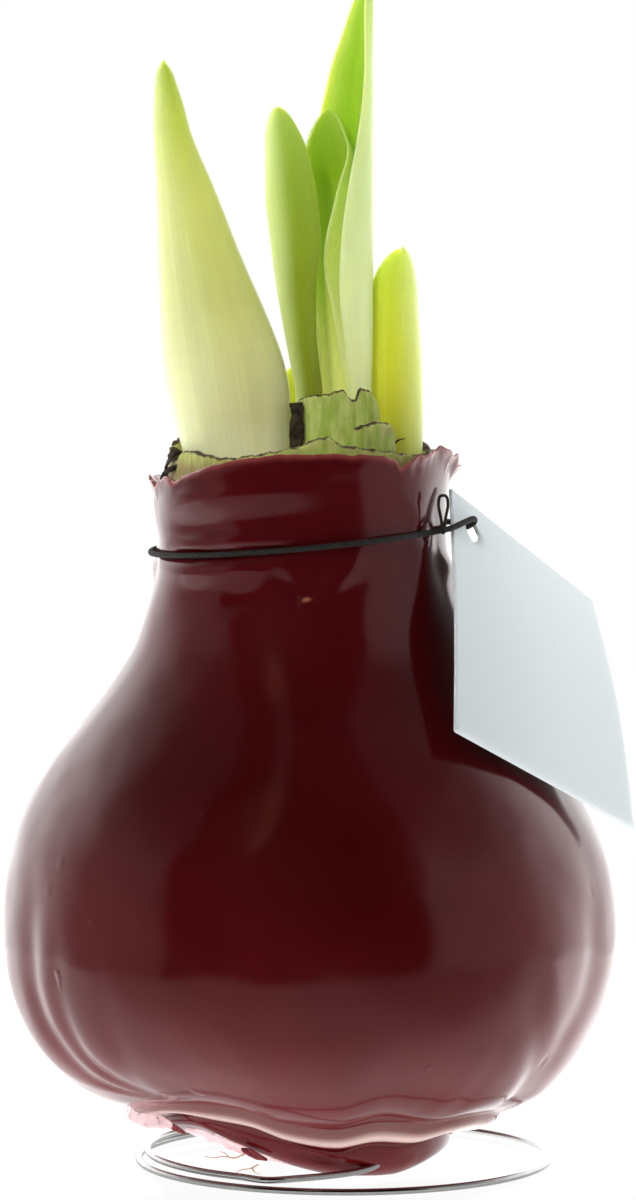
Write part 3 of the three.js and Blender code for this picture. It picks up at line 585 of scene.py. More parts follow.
def wax_coat():
    """The wax as one closed skin, from the middle of its inside over the rim to the middle of its foot."""
    columns = 420
    inside_spacing, outside_spacing = 6.0, 0.95
    angles = np.linspace(-180, 180, columns + 1)
    rows, inside = coat_rows(angles)
    gaps = np.linalg.norm(np.diff(rows[:, :2], axis=0), axis=1).mean(axis=1)
    spacing = np.where(np.arange(len(gaps)) < inside, inside_spacing, outside_spacing)
    steps = np.maximum(np.round(gaps / spacing), 2).astype(int)
    steps[inside - 1 : inside + 1] = 1
    knots = np.concatenate([[0], np.cumsum(steps)]) / sum(steps)

    def shape(u, v):
        key = np.interp(v, knots, np.arange(len(rows)))
        i = np.clip(key.astype(int), 0, len(rows) - 2)
        column = np.round(u * columns).astype(int)
        p0, p1 = rows[np.maximum(i - 1, 0), :, column], rows[i, :, column]
        p2, p3 = rows[i + 1, :, column], rows[np.minimum(i + 2, len(rows) - 1), :, column]
        radius, height, middle = curved(p1, p2, (p2 - p0) / 2, (p3 - p1) / 2, (key - i)[:, None]).T
        angle = angles[column]
        outside = ease((key - inside) / 1.5)
        start = polar(middle, 0, radius, angle, height)
        shift = rib_relief(angle, height, radius)
        for folds, radius_there in ((NECK_FOLDS, 24), (FOOT_FOLDS, 23), (BELLY_DROPS, 48)):
            shift += fold_relief(folds, angle, height, radius_there)
        shift += 0.3 * grain(start, 17, 3) * ease((height - 8) / 10) + 0.1 * grain(start, 6, 9)
        from_cord = np.abs(height - cord_height(start[:, 0]))
        held_in = 0.1 + 1.3 * np.maximum(from_cord - 0.4, 0)
        shift = np.where(from_cord < CORD_HOLD, np.minimum(shift, held_in), shift)
        radius = np.maximum(radius + shift * outside * ease(radius / 6), 0)
        return polar(middle, 0, radius, angle, height)

    def thin(u, v):
        """1 at the very edge of the rim: thin wax there, and a painted highlight along its top edge."""
        return np.exp(-(((v - knots[inside]) * sum(steps) / 2.8) ** 2))

    def film(u, v):
        """Where the coat is paled: on the front between its two lips, most towards the lower lip, and at
        the ruffles of the rim. It is partly thinner wax and partly a painted highlight standing in for the
        reflection of the lit table.
        """
        below_lip = np.interp(v, knots, np.arange(len(rows))) - inside - LIP_ROW
        front = ease((np.cos(np.radians(360 * u - 90)) + 0.25) / 0.5)
        lips = front * ease(below_lip / 1.5) * (0.08 + 0.52 * ease((below_lip - 2.3) / 1.5))
        lips = lips * ease((4.2 - below_lip) / 0.3)
        ruffles_at, ruffles_spread = 168, 22
        ruffles = np.exp(-((turned(360 * u - ruffles_at) / ruffles_spread) ** 2))
        return lips + 0.5 * ruffles * ease(1 - np.abs(below_lip + LIP_ROW) / 3)

    return shaped_grid("coat_of_wax", columns, int(sum(steps)), shape, close=False, thin=thin, film=film)


# ------------ torn wax, dry skin and roots

RIBBON_ROWS = 60


def ribbon(points, widths, lift, thickness, seed):
    """A thin scrap along points, with its widths, the way it stands up, and crumpled edges."""
    path = spaced(points, RIBBON_ROWS)
    ahead = one_long(np.gradient(path, axis=0))
    across = one_long(np.array(lift) - (ahead @ lift)[:, None] * ahead)
    normal = np.cross(ahead, across)
    wide = np.interp(np.linspace(0, 1, RIBBON_ROWS + 1), np.linspace(0, 1, len(widths)), widths)

    def shape(u, v):
        row = np.round(v * RIBBON_ROWS).astype(int)
        turn = 2 * np.pi * u
        side = np.cos(turn) * wide[row] / 2
        face = np.sin(turn) * thickness / 2 * rounded(2 * v - 1, 10)
        curl = 0.18 * side**2 / np.maximum(wide[row], 0.4)
        place = path[row] + side[:, None] * across[row] + (face + curl)[:, None] * normal[row]
        crumple = 0.3 * grain(place, 1.8, seed) + 0.12 * grain(place, 0.7, seed + 3)
        return place + crumple[:, None] * (normal[row] + 0.5 * across[row])

    return shaped_grid(
        "scrap", 24, RIBBON_ROWS, shape, thin=lambda u, v: 0.75 + 0.25 * np.abs(np.cos(2 * np.pi * u)))


def under_base(*places):
    """Points under the base, from angle, radius and height."""
    return [polar(BASE_X, 0, radius, angle, height) for angle, radius, height in places]


def torn_scraps():
    """The loose flap at the left of the lip and the torn strip along the foot."""
    flap = under_base(
        (-184, 30.2, 10.2), (-174, 30.4, 10.0), (-163, 29.8, 9.4), (-153, 28.8, 8.6), (-146, 27.8, 8.0))
    strip = under_base(
        (-150, 24.4, 7.1), (-142, 23.6, 6.7), (-133, 22.8, 5.9), (-122, 22.2, 4.8), (-111, 21.8, 3.8),
        (-102, 21.3, 2.8))
    return joined("torn_wax_scraps", [
        ribbon(flap, [0.6, 3.6, 4.6, 3.4, 1.0], lift=(0.25, 0.1, 1), thickness=0.35, seed=2),
        ribbon(strip, [0.7, 1.8, 1.6, 1.6, 1.2, 0.35], lift=(0, -0.25, 1), thickness=0.35, seed=8)])


def folded_scraps():
    """The folded curl below the flap and the crumpled scrap under the foot."""
    curl = under_base((-153, 28.6, 9.0), (-150, 27.6, 8.2), (-148, 26.4, 7.4), (-146, 25.4, 6.6))
    crumpled = [(-16.4, -20.6, 5.3), (-15.1, -21.2, 4.9), (-13.6, -21.8, 4.2), (-12.2, -22.0, 3.7)]
    return joined("folded_wax_scraps", [
        ribbon(curl, [0.5, 1.2, 1.3, 0.4], lift=(0.2, -0.6, 1), thickness=0.5, seed=5),
        ribbon(crumpled, [0.4, 1.5, 1.3, 0.3], lift=(0.1, -0.5, 1), thickness=0.6, seed=12)])


def dried_scraps_and_shade_strip():
    """Crumpled dry skin left on the cut scales, at the rim's left and as a spike. By the bud's foot is a
    near-black strip that stands in for the deep shade on the stump's side.
    """
    # A dark strip set where the stump's side lies in deep shade: painted shade.
    shade_strip_by_bud = [(-7.8, -7.5, 113.4), (-7.7, -7.9, 116.6), (-7.6, -7.8, 119.8), (-7.7, -7.5, 122.9)]
    at_left = [(-28.6, -5.2, 111.4), (-27.9, -6.6, 113.6), (-26.8, -6.9, 115.0), (-25.6, -7.4, 114.6)]
    below_left = [(-29.4, -4.6, 110.2), (-28.4, -6.0, 111.6), (-27.0, -7.6, 112.6), (-25.4, -8.8, 113.2)]
    spike = spaced([(7.6, -9.0, 116.2), (8.6, -9.2, 117.0), (9.7, -9.4, 117.3)], 24)
    return joined("dried_skin_and_shade_strip", [
        ribbon(shade_strip_by_bud, [2.5, 2.5, 2.5, 2.3], lift=(0.85, -0.5, 0), thickness=0.5, seed=21),
        ribbon(at_left, [0.9, 1.7, 1.4, 0.5], lift=(0.3, 0.2, 1), thickness=0.5, seed=24),
        ribbon(below_left, [0.5, 1.0, 0.9, 0.4], lift=(0.2, -0.4, 1), thickness=0.4, seed=27),
        tube("spike", spike, lambda turn, way: 0.22 * (1 - 0.75 * way), sides=8)])


# Rootlets under the foot: radius at the root's thick end, and points.
ROOTS = [
    (0.16, [(-15.6, -21, 4.6), (-17.4, -21.2, 3.9), (-19.2, -20.9, 4.1), (-20.8, -20.5, 3.8),
     (-22.3, -20.3, 4.1)]),
    (0.12, [(-18.3, -21.1, 4), (-18.9, -20.9, 4.6), (-19.8, -20.7, 4.9)]),
    (0.14, [(-13.6, -21.4, 2.9), (-15, -21.9, 2.3), (-16.2, -22.1, 2.2), (-17.2, -22, 1.7)]),
    (0.12, [(-14.6, -21.8, 2.4), (-14.2, -22.4, 1.8), (-13.2, -22.6, 1.6)]),
]


def roots():
    return joined("dry_rootlets", [
        tube("root", spaced(points, 24), lambda turn, way, radius=radius: radius * (1 - 0.7 * way), 8)
        for radius, points in ROOTS])


# ------------ finishes


# A small pale spot on the front of the wax: its place from the ring's middle, and how flat it is.
SPOT = (-0.0061, -0.0249, 0.0929)
SPOT_FLATNESS = 1.9


def wax_finish(name, deep, bright, edge):
    """Gloss wax, cloudy between two reds. It has an edge colour where it is thin, partly a painted
    highlight, and a pale band that is partly thinner wax and partly a painted reflection of the lit table.
    """
    wax = Finish(name, IOR=1.53, Specular_Tint=(1, 0.7, 0.72))
    cloudy = wax.noise(wax.at, 28, 3).step(0.35, 0.7)
    specks = wax.noise(wax.at, 900, 2)
    # Edge colour: partly the thin wax of the edge, partly a painted highlight on the lit rim.
    thin = wax.mark("thin").step(0.1, 0.9) * 0.75
    flat = wax.stretched(wax.at, (1, 1, SPOT_FLATNESS))
    middle = (RING.x + SPOT[0], RING.y + SPOT[1], SPOT[2] * SPOT_FLATNESS)
    away = wax.node("VectorMath", {0: flat, 1: middle}, operation="DISTANCE", out="Value")
    spot = (1 - (away + (specks - 0.5) * 0.0008).step(0.0003, 0.0012)) * 0.8
    # Pale colour between the lips and on the rim's ruffles: partly thinner wax, partly a painted highlight
    # and reflection.
    film = wax.mark("film")
    base = wax.layers(
        paint(*deep), (cloudy, bright), (thin, edge), (film, (184, 164, 156)), (spot, (176, 110, 78)))
    waves = wax.noise(wax.stretched(wax.at, (1, 1, 0.6)), 45, 2)
    soft = wax.bump(waves, distance=0.0012, strength=0.4)
    pimples = wax.noise(wax.at, 160, 1).step(0.76, 0.86)
    skin = wax.bump(pimples, distance=0.0003, strength=0.6, under=soft)
    wax.set(Base_Color=base, Roughness=0.12 + specks * 0.04, Normal=skin)
    return wax


def leaf_finish(name, faces, lit_side_colour, vein, glow, middle):
    """Leaf skin. faces are the colours of the outer and the inner face, each from the foot to the tip. The
    pale side colour is laid towards the sides as painted side light, and along the very edges as a painted
    highlight.
    """
    # The skin glows faintly in its own colour: painted light standing in for the light that passes through
    # the leaf.
    leaf = Finish(
        name, IOR=1.38, Subsurface_Weight=0.8, Subsurface_Radius=(1, 1, 0.3), Subsurface_Scale=0.003,
        Emission_Strength=0.13)
    across, along, _ = leaf.parts(leaf.growth())

    def ramp(face):
        stops = [(i / (len(face) - 1), paint(*colour)) for i, colour in enumerate(face)]
        return leaf.node("ValToRGB", {0: along}, stops=stops)

    base = leaf.mix(leaf.mark("inside"), ramp(faces[0]), ramp(faces[-1]))
    lines = leaf.noise(leaf.stretched(leaf.growth(), (34, 1.6, 1)), 1.0, 3, 0.6)
    fine = leaf.noise(leaf.stretched(leaf.growth(), (110, 5, 1)), 1.0, 2, 0.6)
    patch = leaf.noise(leaf.at, 60, 2)
    shade = 1 + (lines - 0.5) * (2 * vein) + (fine - 0.5) * vein + (patch - 0.5) * 0.12
    tone = leaf.node("CombineXYZ", {0: shade, 1: shade, 2: shade})
    base = leaf.node("VectorMath", {0: base, 1: tone}, operation="MULTIPLY")
    from_middle = abs(across - middle)
    # Painted light: the sides pale towards the margins as far as glow reaches, and the very edges carry a
    # painted highlight.
    sides, edge = from_middle.step(0.15, 0.5) * glow, from_middle.step(0.465, 0.5) * 0.5
    base = leaf.layers(base, (sides, lit_side_colour), (edge, lit_side_colour))
    ribbed = leaf.bump(lines + fine * 0.4, distance=0.0003, strength=0.35)
    leaf.set(Base_Color=base, Emission_Color=base, Roughness=0.36 + fine * 0.14, Normal=ribbed)
    return leaf


# ------------ bulb inside the wax

NECK_X = -7
NECK_FLOOR = 110.5
SCALE_FOOT = 104
STUMP_COLUMN = 0.3482  # width of a column of points round a stump
STUMP_ROWS = 44

# Stumps of cut scales: middle, outer radius, thickness, and the height of the torn top by angle.
SCALES = [
    (NECK_X, 0, 21.5, 1.7, [(-180, 113.6), (-171, 115.6), (-164, 113.4), (-150, 115.4), (-126, 114.6),
     (-108, 115.4), (-92, 116.6), (-78, 118.2), (-73, 117), (-60, 116.2), (-45, 115.4), (-25, 114.6),
     (0, 114.4)]),
    (NECK_X, 0, 21.5, 1.7, [(0, 114.4), (20, 116), (45, 115.2), (60, 117.4), (90, 116.4),
     (110, 117.6), (135, 115.4), (160, 116), (180, 113.6)]),
    (NECK_X, 0, 18.6, 1.9, [(-61, 119.2), (-50, 120), (-37, 119.6), (-33, 117.6)]),
    (NECK_X, 0, 16.2, 1.6, [(-48, 116.6), (-38, 117.2), (-28, 116.4), (-16, 116.8)]),
    (-0.5, -0.4, 9.6, 1.8, [(-152, 122.2), (-134, 123.6), (-125, 124), (-104, 124.4), (-88, 125),
     (-80, 123.5), (-74, 123.7), (-71, 125.1), (-58, 124.6), (-50, 122.8), (-46, 120)]),
    (-0.5, 0.8, 10.8, 1.7, [(28, 118), (48, 121.4), (84, 122.6), (116, 121.6), (140, 119.4)]),
    (-17.6, -1.5, 11.6, 1.6, [(52, 116.4), (84, 118.6), (122, 118), (158, 115.8)]),
]


def scale_stump(number, x, y, radius, thickness, tops):
    """One stump of a cut scale: a wall with a torn, dried top."""
    start, end = tops[0][0], tops[-1][0]
    columns = max(int((end - start) / DEGREES * radius / STUMP_COLUMN), 24)

    def tear(angle):
        (top,) = between(tops, angle)
        return top + wobble(angle, (0.1, 37, 30 * number), (0.07, 83, 50), (0.05, 170, 10))

    def reach(v):
        """Shares of the height and of the thickness, from the outer foot over the top to the inner foot."""
        return 1 - np.abs(2 * v - 1) ** 1.7, ease((v - 0.44) / 0.12)

    def shape(u, v):
        angle = start + (end - start) * u
        up, deep = reach(v)
        height = SCALE_FOOT + (tear(angle) - SCALE_FOOT) * up
        wall = thickness * (1 - 0.35 * up) * rounded(2 * u - 1, 14)
        out = radius - 0.25 * thickness * up * deep - wall * (deep - 0.5) - thickness / 2
        place = polar(x, y, out, angle, height)
        rough = 0.12 * grain(place, 1.6, number) + 0.1 * grain(place, 5, number + 4)
        return place + polar(0, 0, rough, angle, 0)

    def below_tear(u, v):
        return (tear(start + (end - start) * u) - SCALE_FOOT) * (1 - reach(v)[0])

    return shaped_grid("scale", columns, STUMP_ROWS, shape, below_tear=below_tear)


FLOOR_SHARE = 0.22  # of the flesh's rows
FLESH_FOOT = 12
FOOT_INSET = 6  # how far inside the upper lip the flesh ends


def bulb_flesh():
    """The cut floor of the neck and the flesh below it, inside the coat."""

    def shape(u, v):
        angle = -180 + 360 * u
        height = np.interp(v, [FLOOR_SHARE, 1], [NECK_FLOOR, FLESH_FOOT])
        radius, x = between(BODY, height)
        upper_r, *_ = around(UNDERSIDE, angle)
        belt = BODY[0][0]
        low = ease((belt - height) / (belt - FLESH_FOOT))
        radius = radius * (1 - low) + (upper_r - FOOT_INSET) * low - (WAX_THICKNESS + COAT_GAP)
        inner = np.clip(v / FLOOR_SHARE, 0, 1)
        rings = 0.35 * np.sin(inner * 26) * (v < 0.2)
        place = polar(np.where(v < FLOOR_SHARE, NECK_X, x), 0, (radius - 0.4) * inner, angle, height)
        place[:, 2] += rings * ease(inner * 4) - 0.4 * (v < FLOOR_SHARE)
        return place

    return shaped_grid("flesh", 96, 60, shape, below_tear=lambda u, v: 1.2 + 0 * u)


# ------------ shoots

SHOOT_FOOT = 101
TIP_CROWDING = 1.35  # how much closer the rows lie towards a tip

# Flower bud in its sheath: length of its rounded tip, and levels of height, x and y of its middle,
# half-width and half-depth.
BUD_TIP = 2.2
BUD = [
    (SHOOT_FOOT, -16, -2.6, 7.2, 5.2), (110, -16.8, -2.8, 8, 5.7), (114.5, -17.2, -3, 8.5, 6),
    (120, -17.9, -3, 9.25, 6.3), (125, -18.6, -3, 9.7, 6.5), (130, -19.5, -3, 9.55, 6.4),
    (137, -21, -3, 8.4, 5.8), (146, -23.1, -3, 6.6, 4.8), (156, -25.2, -3, 4.8, 3.7),
    (165, -27.3, -3, 3.1, 2.6), (170, -28, -3, 2.4, 2.1), (174.8, -28.6, -3, 1.4, 1.3),
    (177.2, -28.8, -3, 0.45, 0.45),
]

# Leaves: thickness, length of the rounded tip, angle of its point, and levels of height, x and y of the
# middle of the arc, its half-width and half-depth, and the angles of the two margins. leaf_right also has
# the height of the hook beside its tip.
LEAVES = {
    "leaf_round": (1.5, 6.5, 260, [
        (SHOOT_FOOT, -5, -2.2, 1.9, 2.4, 186, 350), (124, -5.6, -2.3, 1.9, 2.5, 186, 352),
        (129.6, -6.4, -2.4, 2.1, 2.4, 187, 352), (134.5, -7.1, -2.5, 2.4, 2.4, 188, 352),
        (141.5, -7.65, -2.5, 3.1, 2.4, 190, 352), (148, -7.75, -2.4, 3.9, 2.4, 190, 351),
        (155, -8.4, -2.3, 4.05, 2.3, 190, 350), (162, -9.15, -2.3, 3.35, 2.1, 190, 350),
        (166, -9.85, -2.3, 2.75, 1.9, 190, 350), (169.8, -10.3, -2.2, 2.2, 1.6, 190, 350),
    ]),
    "leaf_cupped": (1.1, 6, 95, [
        (SHOOT_FOOT, -0.8, 0.4, 3, 2.2, -75, 205), (124.8, -0.8, 0.4, 3.2, 2.3, -70, 209),
        (128, -1, 0.4, 3.4, 2.3, -80, 218), (137, -1.4, 0.4, 3.8, 2.4, -97, 224),
        (142.5, -1.6, 0.4, 4.2, 2.5, -110, 208), (146, -1.7, 0.4, 4.3, 2.5, -112, 200),
        (150, -1.9, 0.4, 4.4, 2.5, -101, 194), (154, -2, 0.4, 4.4, 2.5, -87, 190),
        (157.5, -2.1, 0.4, 4.2, 2.4, -74, 188), (161, -2.3, 0.4, 4, 2.3, -52, 188),
        (165, -2.6, 0.6, 3, 2, -18, 192), (169.2, -2.4, 0.8, 2.3, 1.6, -10, 190),
    ]),
    "leaf_inner": (0.9, 4.5, 270, [
        (SHOOT_FOOT, -0.7, 0.9, 1.3, 0.9, 185, 355), (128, -0.9, 0.9, 1.4, 1, 185, 355),
        (137, -1.4, 0.9, 1.7, 1.2, 185, 355), (147, -1.5, 0.9, 1.5, 1.1, 185, 355),
    ]),
    "leaf_tall": (1.2, 4.5, 20, [
        (SHOOT_FOOT, -1, 0.8, 4.9, 4.5, -66, 128), (125, -1.1, 0.8, 5, 4.6, -67, 130),
        (130, -1.2, 0.8, 5.2, 4.6, -73, 130), (140, -1.3, 0.8, 5.35, 4.7, -84, 130),
        (149, -1.3, 0.8, 5.35, 4.7, -81, 130), (158, -1.2, 0.8, 5.25, 4.6, -68, 132),
        (165, -0.95, 0.9, 5, 4.2, -53, 134), (172.5, -0.1, 1, 4.2, 3.4, -42, 134),
        (177, 0.55, 1.1, 3.5, 2.8, -40, 134), (182, 1.6, 1.2, 2.5, 2.1, -50, 134),
        (186.8, 2.6, 1.3, 1.5, 1.4, -66, 140), (189.8, 3, 1.4, 1, 1, -70, 140),
    ]),
    "leaf_right": (1.5, 8, 280, [
        (SHOOT_FOOT, 8.4, 3.6, 3.65, 3.2, 184, 356), (118, 8.45, 3.6, 3.95, 3.3, 184, 356),
        (127, 8.35, 3.6, 3.9, 3.3, 184, 356), (134, 8.15, 3.6, 3.7, 3.2, 184, 356),
        (139, 8, 3.6, 3.55, 3.1, 184, 356), (143, 8.1, 3.6, 3.4, 2.8, 184, 356),
        (147.2, 8.7, 3.4, 2.9, 2.2, 184, 356),
    ], 0.5),
    "leaf_back": (1.2, 3.5, 270, [
        (SHOOT_FOOT, -8.4, 6.6, 1.9, 1.5, 190, 350), (120, -8.4, 6.6, 1.9, 1.5, 190, 350),
        (128, -8.2, 6.6, 1.8, 1.4, 190, 350),
    ]),
}


def grown(levels, tip, v):
    """Height up a shoot, way through its tip, height left, and the form's other numbers at that height."""
    foot, top = levels[0][0], levels[-1][0]
    height = foot + (top - foot) * (1 - (1 - v) ** TIP_CROWDING)
    return height, np.clip((height - (top - tip)) / tip, 0, 1), top - height, *between(levels, height)


def bud_shoot():
    """The plump bud, lightly fluted, its sheath lapped down one side."""

    def shape(u, v):
        height, closing, left, x, y, half_width, half_depth = grown(BUD, BUD_TIP, v)
        turn = 2 * np.pi * u
        flute = 1 + 0.006 * np.sin(14 * turn) * ease(left / 20) + 0.012 * np.cos(3 * turn + 1)
        sheath = 0.012 * ease((np.cos(turn + 0.45) - 0.86) / 0.1)
        reach = (flute + sheath) * rounded(closing, 2)
        out, deep = half_width * reach * np.cos(turn), half_depth * reach * np.sin(turn)
        return np.column_stack([x + out, y + deep, height])

    # The inside mark darkens the bud's right side to the second row of colours: painted shade.
    return shaped_grid(
        "bud_in_sheath", 112, 130, shape, growth=lambda u, v: (0.75 - 0.25 * np.cos(2 * np.pi * u), v),
        inside=lambda u, v: 0.8 * np.exp(-((turned(360 * u) / 15) ** 2)))


def leaf_blade(name, thickness, tip, tip_angle, levels, hook=0):
    """A leaf as one closed skin: across its outer face and back across its inner face."""

    def across(u):
        share = np.where(u <= 0.5, 2 * u, 2 - 2 * u)
        return 0.5 - 0.5 * np.cos(np.pi * share)

    def shape(u, v):
        height, closing, _, x, y, half_width, half_depth, start, end = grown(levels, tip, v)
        share = rounded(closing, 2)
        k = across(u)

        def arc(angle):
            return np.column_stack([x + half_width * np.cos(angle), y + half_depth * np.sin(angle)])

        angle = np.radians(start + (end - start) * k)
        anchor = arc(np.radians(tip_angle))
        middle = (arc(angle) - anchor) * share[:, None] + anchor
        normal = one_long(np.column_stack([half_depth * np.cos(angle), half_width * np.sin(angle)]))
        body = 0.55 + 0.45 * np.sin(np.pi * k)
        half = thickness / 2 * body * (0.35 + 0.65 * share) * rounded(2 * k - 1, 7)
        half = half * np.where(u <= 0.5, 1, -1) * rounded(closing, 8)
        place = middle + normal * half[:, None]
        rise, drop = (np.exp(-(((k - at) / 0.12) ** 2)) for at in (0.7, 0.42))
        return np.column_stack([place, height + hook * closing**2 * (rise - drop)])

    return shaped_grid(
        name, 72, 110, shape, growth=lambda u, v: (across(u), v), inside=lambda u, v: u > 0.5)


# ------------ cord, tag and wire

TAG_THICKNESS = 0.6
TAG_BOW = 1.2  # how far its middle bows outward
TAG_HOLE = (0.13, 0.116, 3.7)  # shares across and down, and diameter
# Upper corners, then lower corners.
TAG_CORNERS = np.array([
    [(16.8, -7.6, 109.1), (40.8, 19, 88.9)],
    [(17, -33.4, 72.9), (46.3, -10.4, 54.7)],
])
TAG_DOWN = TAG_CORNERS[1, 0] - TAG_CORNERS[0, 0]
TAG_ACROSS = TAG_CORNERS[0, 1] - TAG_CORNERS[0, 0]
TAG_WAY_OUT = np.cross(TAG_DOWN, TAG_ACROSS)
TAG_WAY_OUT = TAG_WAY_OUT / np.linalg.norm(TAG_WAY_OUT)


def tag_point(across, down, lift):
    """A place on the card, from shares across and down and a height above its middle."""
    across, down, lift = (np.asarray(n, float)[..., None] for n in (across, down, lift))
    top, bottom = (left * (1 - across) + right * across for left, right in TAG_CORNERS)
    bow = TAG_BOW * np.sin(np.pi * down) * (0.4 + 0.6 * across)
    return top * (1 - down) + bottom * down + TAG_WAY_OUT * (bow + lift)


PLAIT = 1.5  # length of one plait of the braid
CORD_ROWS = 1400


def neck_cord():
    """The cord round the neck and through the tag's hole, and its small upright end loop."""
    hole_across, hole_top = TAG_HOLE[0], TAG_HOLE[1] - 0.026
    points = [tag_point(hole_across, hole_top, -1.6), (18.6, 1.2, 103.1)]
    for angle in range(24, 325, 15):
        x = CORD_X + CORD_REACH * math.cos(math.radians(angle))
        points.append((x, CORD_REACH * math.sin(math.radians(angle)), cord_height(x)))
    points.append((16.4, -13.9, 103.2))
    points += [tag_point(hole_across - 0.03, hole_top, 1.5), tag_point(hole_across - 0.01, hole_top, 0.9)]
    path = spaced(points, CORD_ROWS, closed=True)
    path[-1] = path[0]
    plaits = round(np.linalg.norm(np.diff(path, axis=0), axis=1).sum() / PLAIT)

    def braided(turn, way):
        along = 2 * np.pi * plaits * way
        strands = np.maximum(*(np.cos(np.radians(4 * turn) + lay * along) for lay in (1, -1)))
        return CORD_DIAMETER / 2 * (0.91 + 0.09 * strands)

    loop = tube("cord_round_neck", path, braided, sides=16)
    foot, wide, tall, strand = np.array([15.6, -14.6, 103.1]), 1.5, 5.4, 0.5
    outline = [(0, -0.1), (0.25, 0.35), (0.5, 0.75), (0.3, 0.98), (-0.3, 0.98), (-0.5, 0.75), (-0.25, 0.35)]
    bow = [foot + np.array([aside * wide, 0.9 * up, up * tall]) for aside, up in outline]
    bow_path = spaced(bow, 120, closed=True)
    bow_path[-1] = bow_path[0]
    end_loop = tube("cord_end", bow_path, strand / 2, sides=10)
    return joined("elastic_neck_cord", [loop, end_loop])


def tag_card():
    """The card as one skin round its hole: out across the front, over the edge, back across the back."""
    hole_across, hole_down, diameter = TAG_HOLE
    wide, tall = np.linalg.norm(TAG_ACROSS), np.linalg.norm(TAG_DOWN)
    left, above = hole_across * wide, hole_down * tall
    right, below = wide - left, tall - above
    ways = (-above, right), (below, right), (below, -left), (-above, -left)
    corners = [math.atan2(*way) for way in ways]
    corners[3] += 2 * math.pi
    corners.append(corners[0] + 2 * math.pi)

    def section(v):
        """Share of the way out from the hole, and lift, round the card's section."""
        turns = [0, 0.03, 0.46, 0.5, 0.54, 0.97, 1]
        way = np.interp(v, turns, [0, 0.012, 0.985, 1, 0.985, 0.012, 0])
        return way, np.interp(v, turns, [0, 1, 1, 0, -1, -1, 0])

    def flat(u, v):
        turn = np.interp(u * 4, np.arange(5), corners)
        c, s = np.cos(turn), np.sin(turn)
        far = np.minimum(
            np.where(c > 0, right, left) / np.maximum(np.abs(c), 1e-9),
            np.where(s > 0, below, above) / np.maximum(np.abs(s), 1e-9))
        way, lift = section(v)
        reach = diameter / 2 + (far - diameter / 2) * way
        return (left + reach * c) / wide, (above + reach * s) / tall, lift

    def shape(u, v):
        across, down, lift = flat(u, v)
        return tag_point(across, down, lift * TAG_THICKNESS / 2)

    def growth(u, v):
        across, down, _ = flat(u, v)
        return across, 1 - down

    def rim(u, v):
        way, lift = section(v)
        return np.maximum(np.exp(-((1 - way) / 0.03) ** 2), 1 - np.abs(lift))

    card = shaped_grid(
        "card_tag", 160, 64, shape, close=False, growth=growth, rim=rim,
        reverse=lambda u, v: section(v)[1] < -0.5)
    bpy.ops.object.shade_smooth_by_angle(angle=math.radians(50))
    return card


WIRE_DIAMETER = 1.1
UPPER_TURN, LOWER_TURN = 31.7, 33.15
WIRE_ROWS = 900

# The wire's pinned end, from inside the bulb down to the upper turn.
PIN = [
    (12, -11, 13.5), (10.2, -14.4, 8.8), (7.8, -17.9, 4.8), (5.2, -20.8, 2.8), (2.2, -23.2, 2.15),
    (-2.4, -26.1, 1.95), (-7.2, -28.6, 1.95), (-12.2, -30.3, 1.95),
]


def wire_stand():
    """One wire: its pinned end, the upper turn, the way down at the back, and the lower turn."""
    low = WIRE_DIAMETER / 2
    high = low + WIRE_DIAMETER + GAP
    points = list(PIN)
    first, last, way_down = -122, -612, -258
    for angle in range(first, last - 1, -7):
        drop = float(ease((way_down - angle) / 34))
        radius = UPPER_TURN + (LOWER_TURN - UPPER_TURN) * drop
        a = math.radians(angle)
        points.append((radius * math.cos(a), radius * math.sin(a), high + (low - high) * drop))

    def blunt(turn, way):
        end = np.minimum(way, 1 - way) * WIRE_ROWS
        return WIRE_DIAMETER / 2 * np.where(end < 1, 0.7, 1) + 0 * turn

    return tube("steel_wire_stand", spaced(points, WIRE_ROWS), blunt, sides=20)


# ------------ other finishes


def stump_finish():
    """Pale green flesh, stained below the wax's edge and dried brown along the tear."""
    stump = Finish("cut scale, dried at its edge", IOR=1.4, Roughness=0.6)
    below = stump.mark("below_tear")
    wander = stump.noise(stump.at, 700, 3)
    streaks = stump.noise(stump.stretched(stump.at, (1, 1, 0.25)), 900, 3)
    stain = stump.noise(stump.at, 420, 3).step(0.55, 0.75)
    dried = 1 - (below + (wander - 0.5) * 0.9).step(0.1, 0.42)
    fading = 1 - (below + (wander - 0.5) * 2.0).step(0.3, 2.2)
    _, _, height = stump.parts(stump.at)
    waxed = 1 - (height + wander * 0.001).step(0.1128, 0.1158)
    base = stump.layers(
        paint(150, 174, 64), (streaks.step(0.3, 0.7), (188, 200, 114)), (stain * 0.5, (150, 132, 84)),
        (fading * 0.22, (168, 140, 96)), (waxed * 0.6, (150, 96, 80)), (dried, (66, 42, 28)))
    rough = stump.bump(streaks + wander * 0.5, distance=0.0004, strength=0.6)
    stump.set(Base_Color=base, Normal=rough)
    return stump


def mottled(name, scale, detail, dark, light, depth, strength, spread=None, **constants):
    """A finish that wanders between two colours, with a fine bump to match."""
    finish = Finish(name, **constants)
    spots = finish.noise(finish.at, scale, detail)
    share = spots.step(*spread) if spread else spots
    finish.set(Base_Color=finish.layers(paint(*dark), (share, light)))
    finish.set(Normal=finish.bump(spots, depth, strength))
    return finish


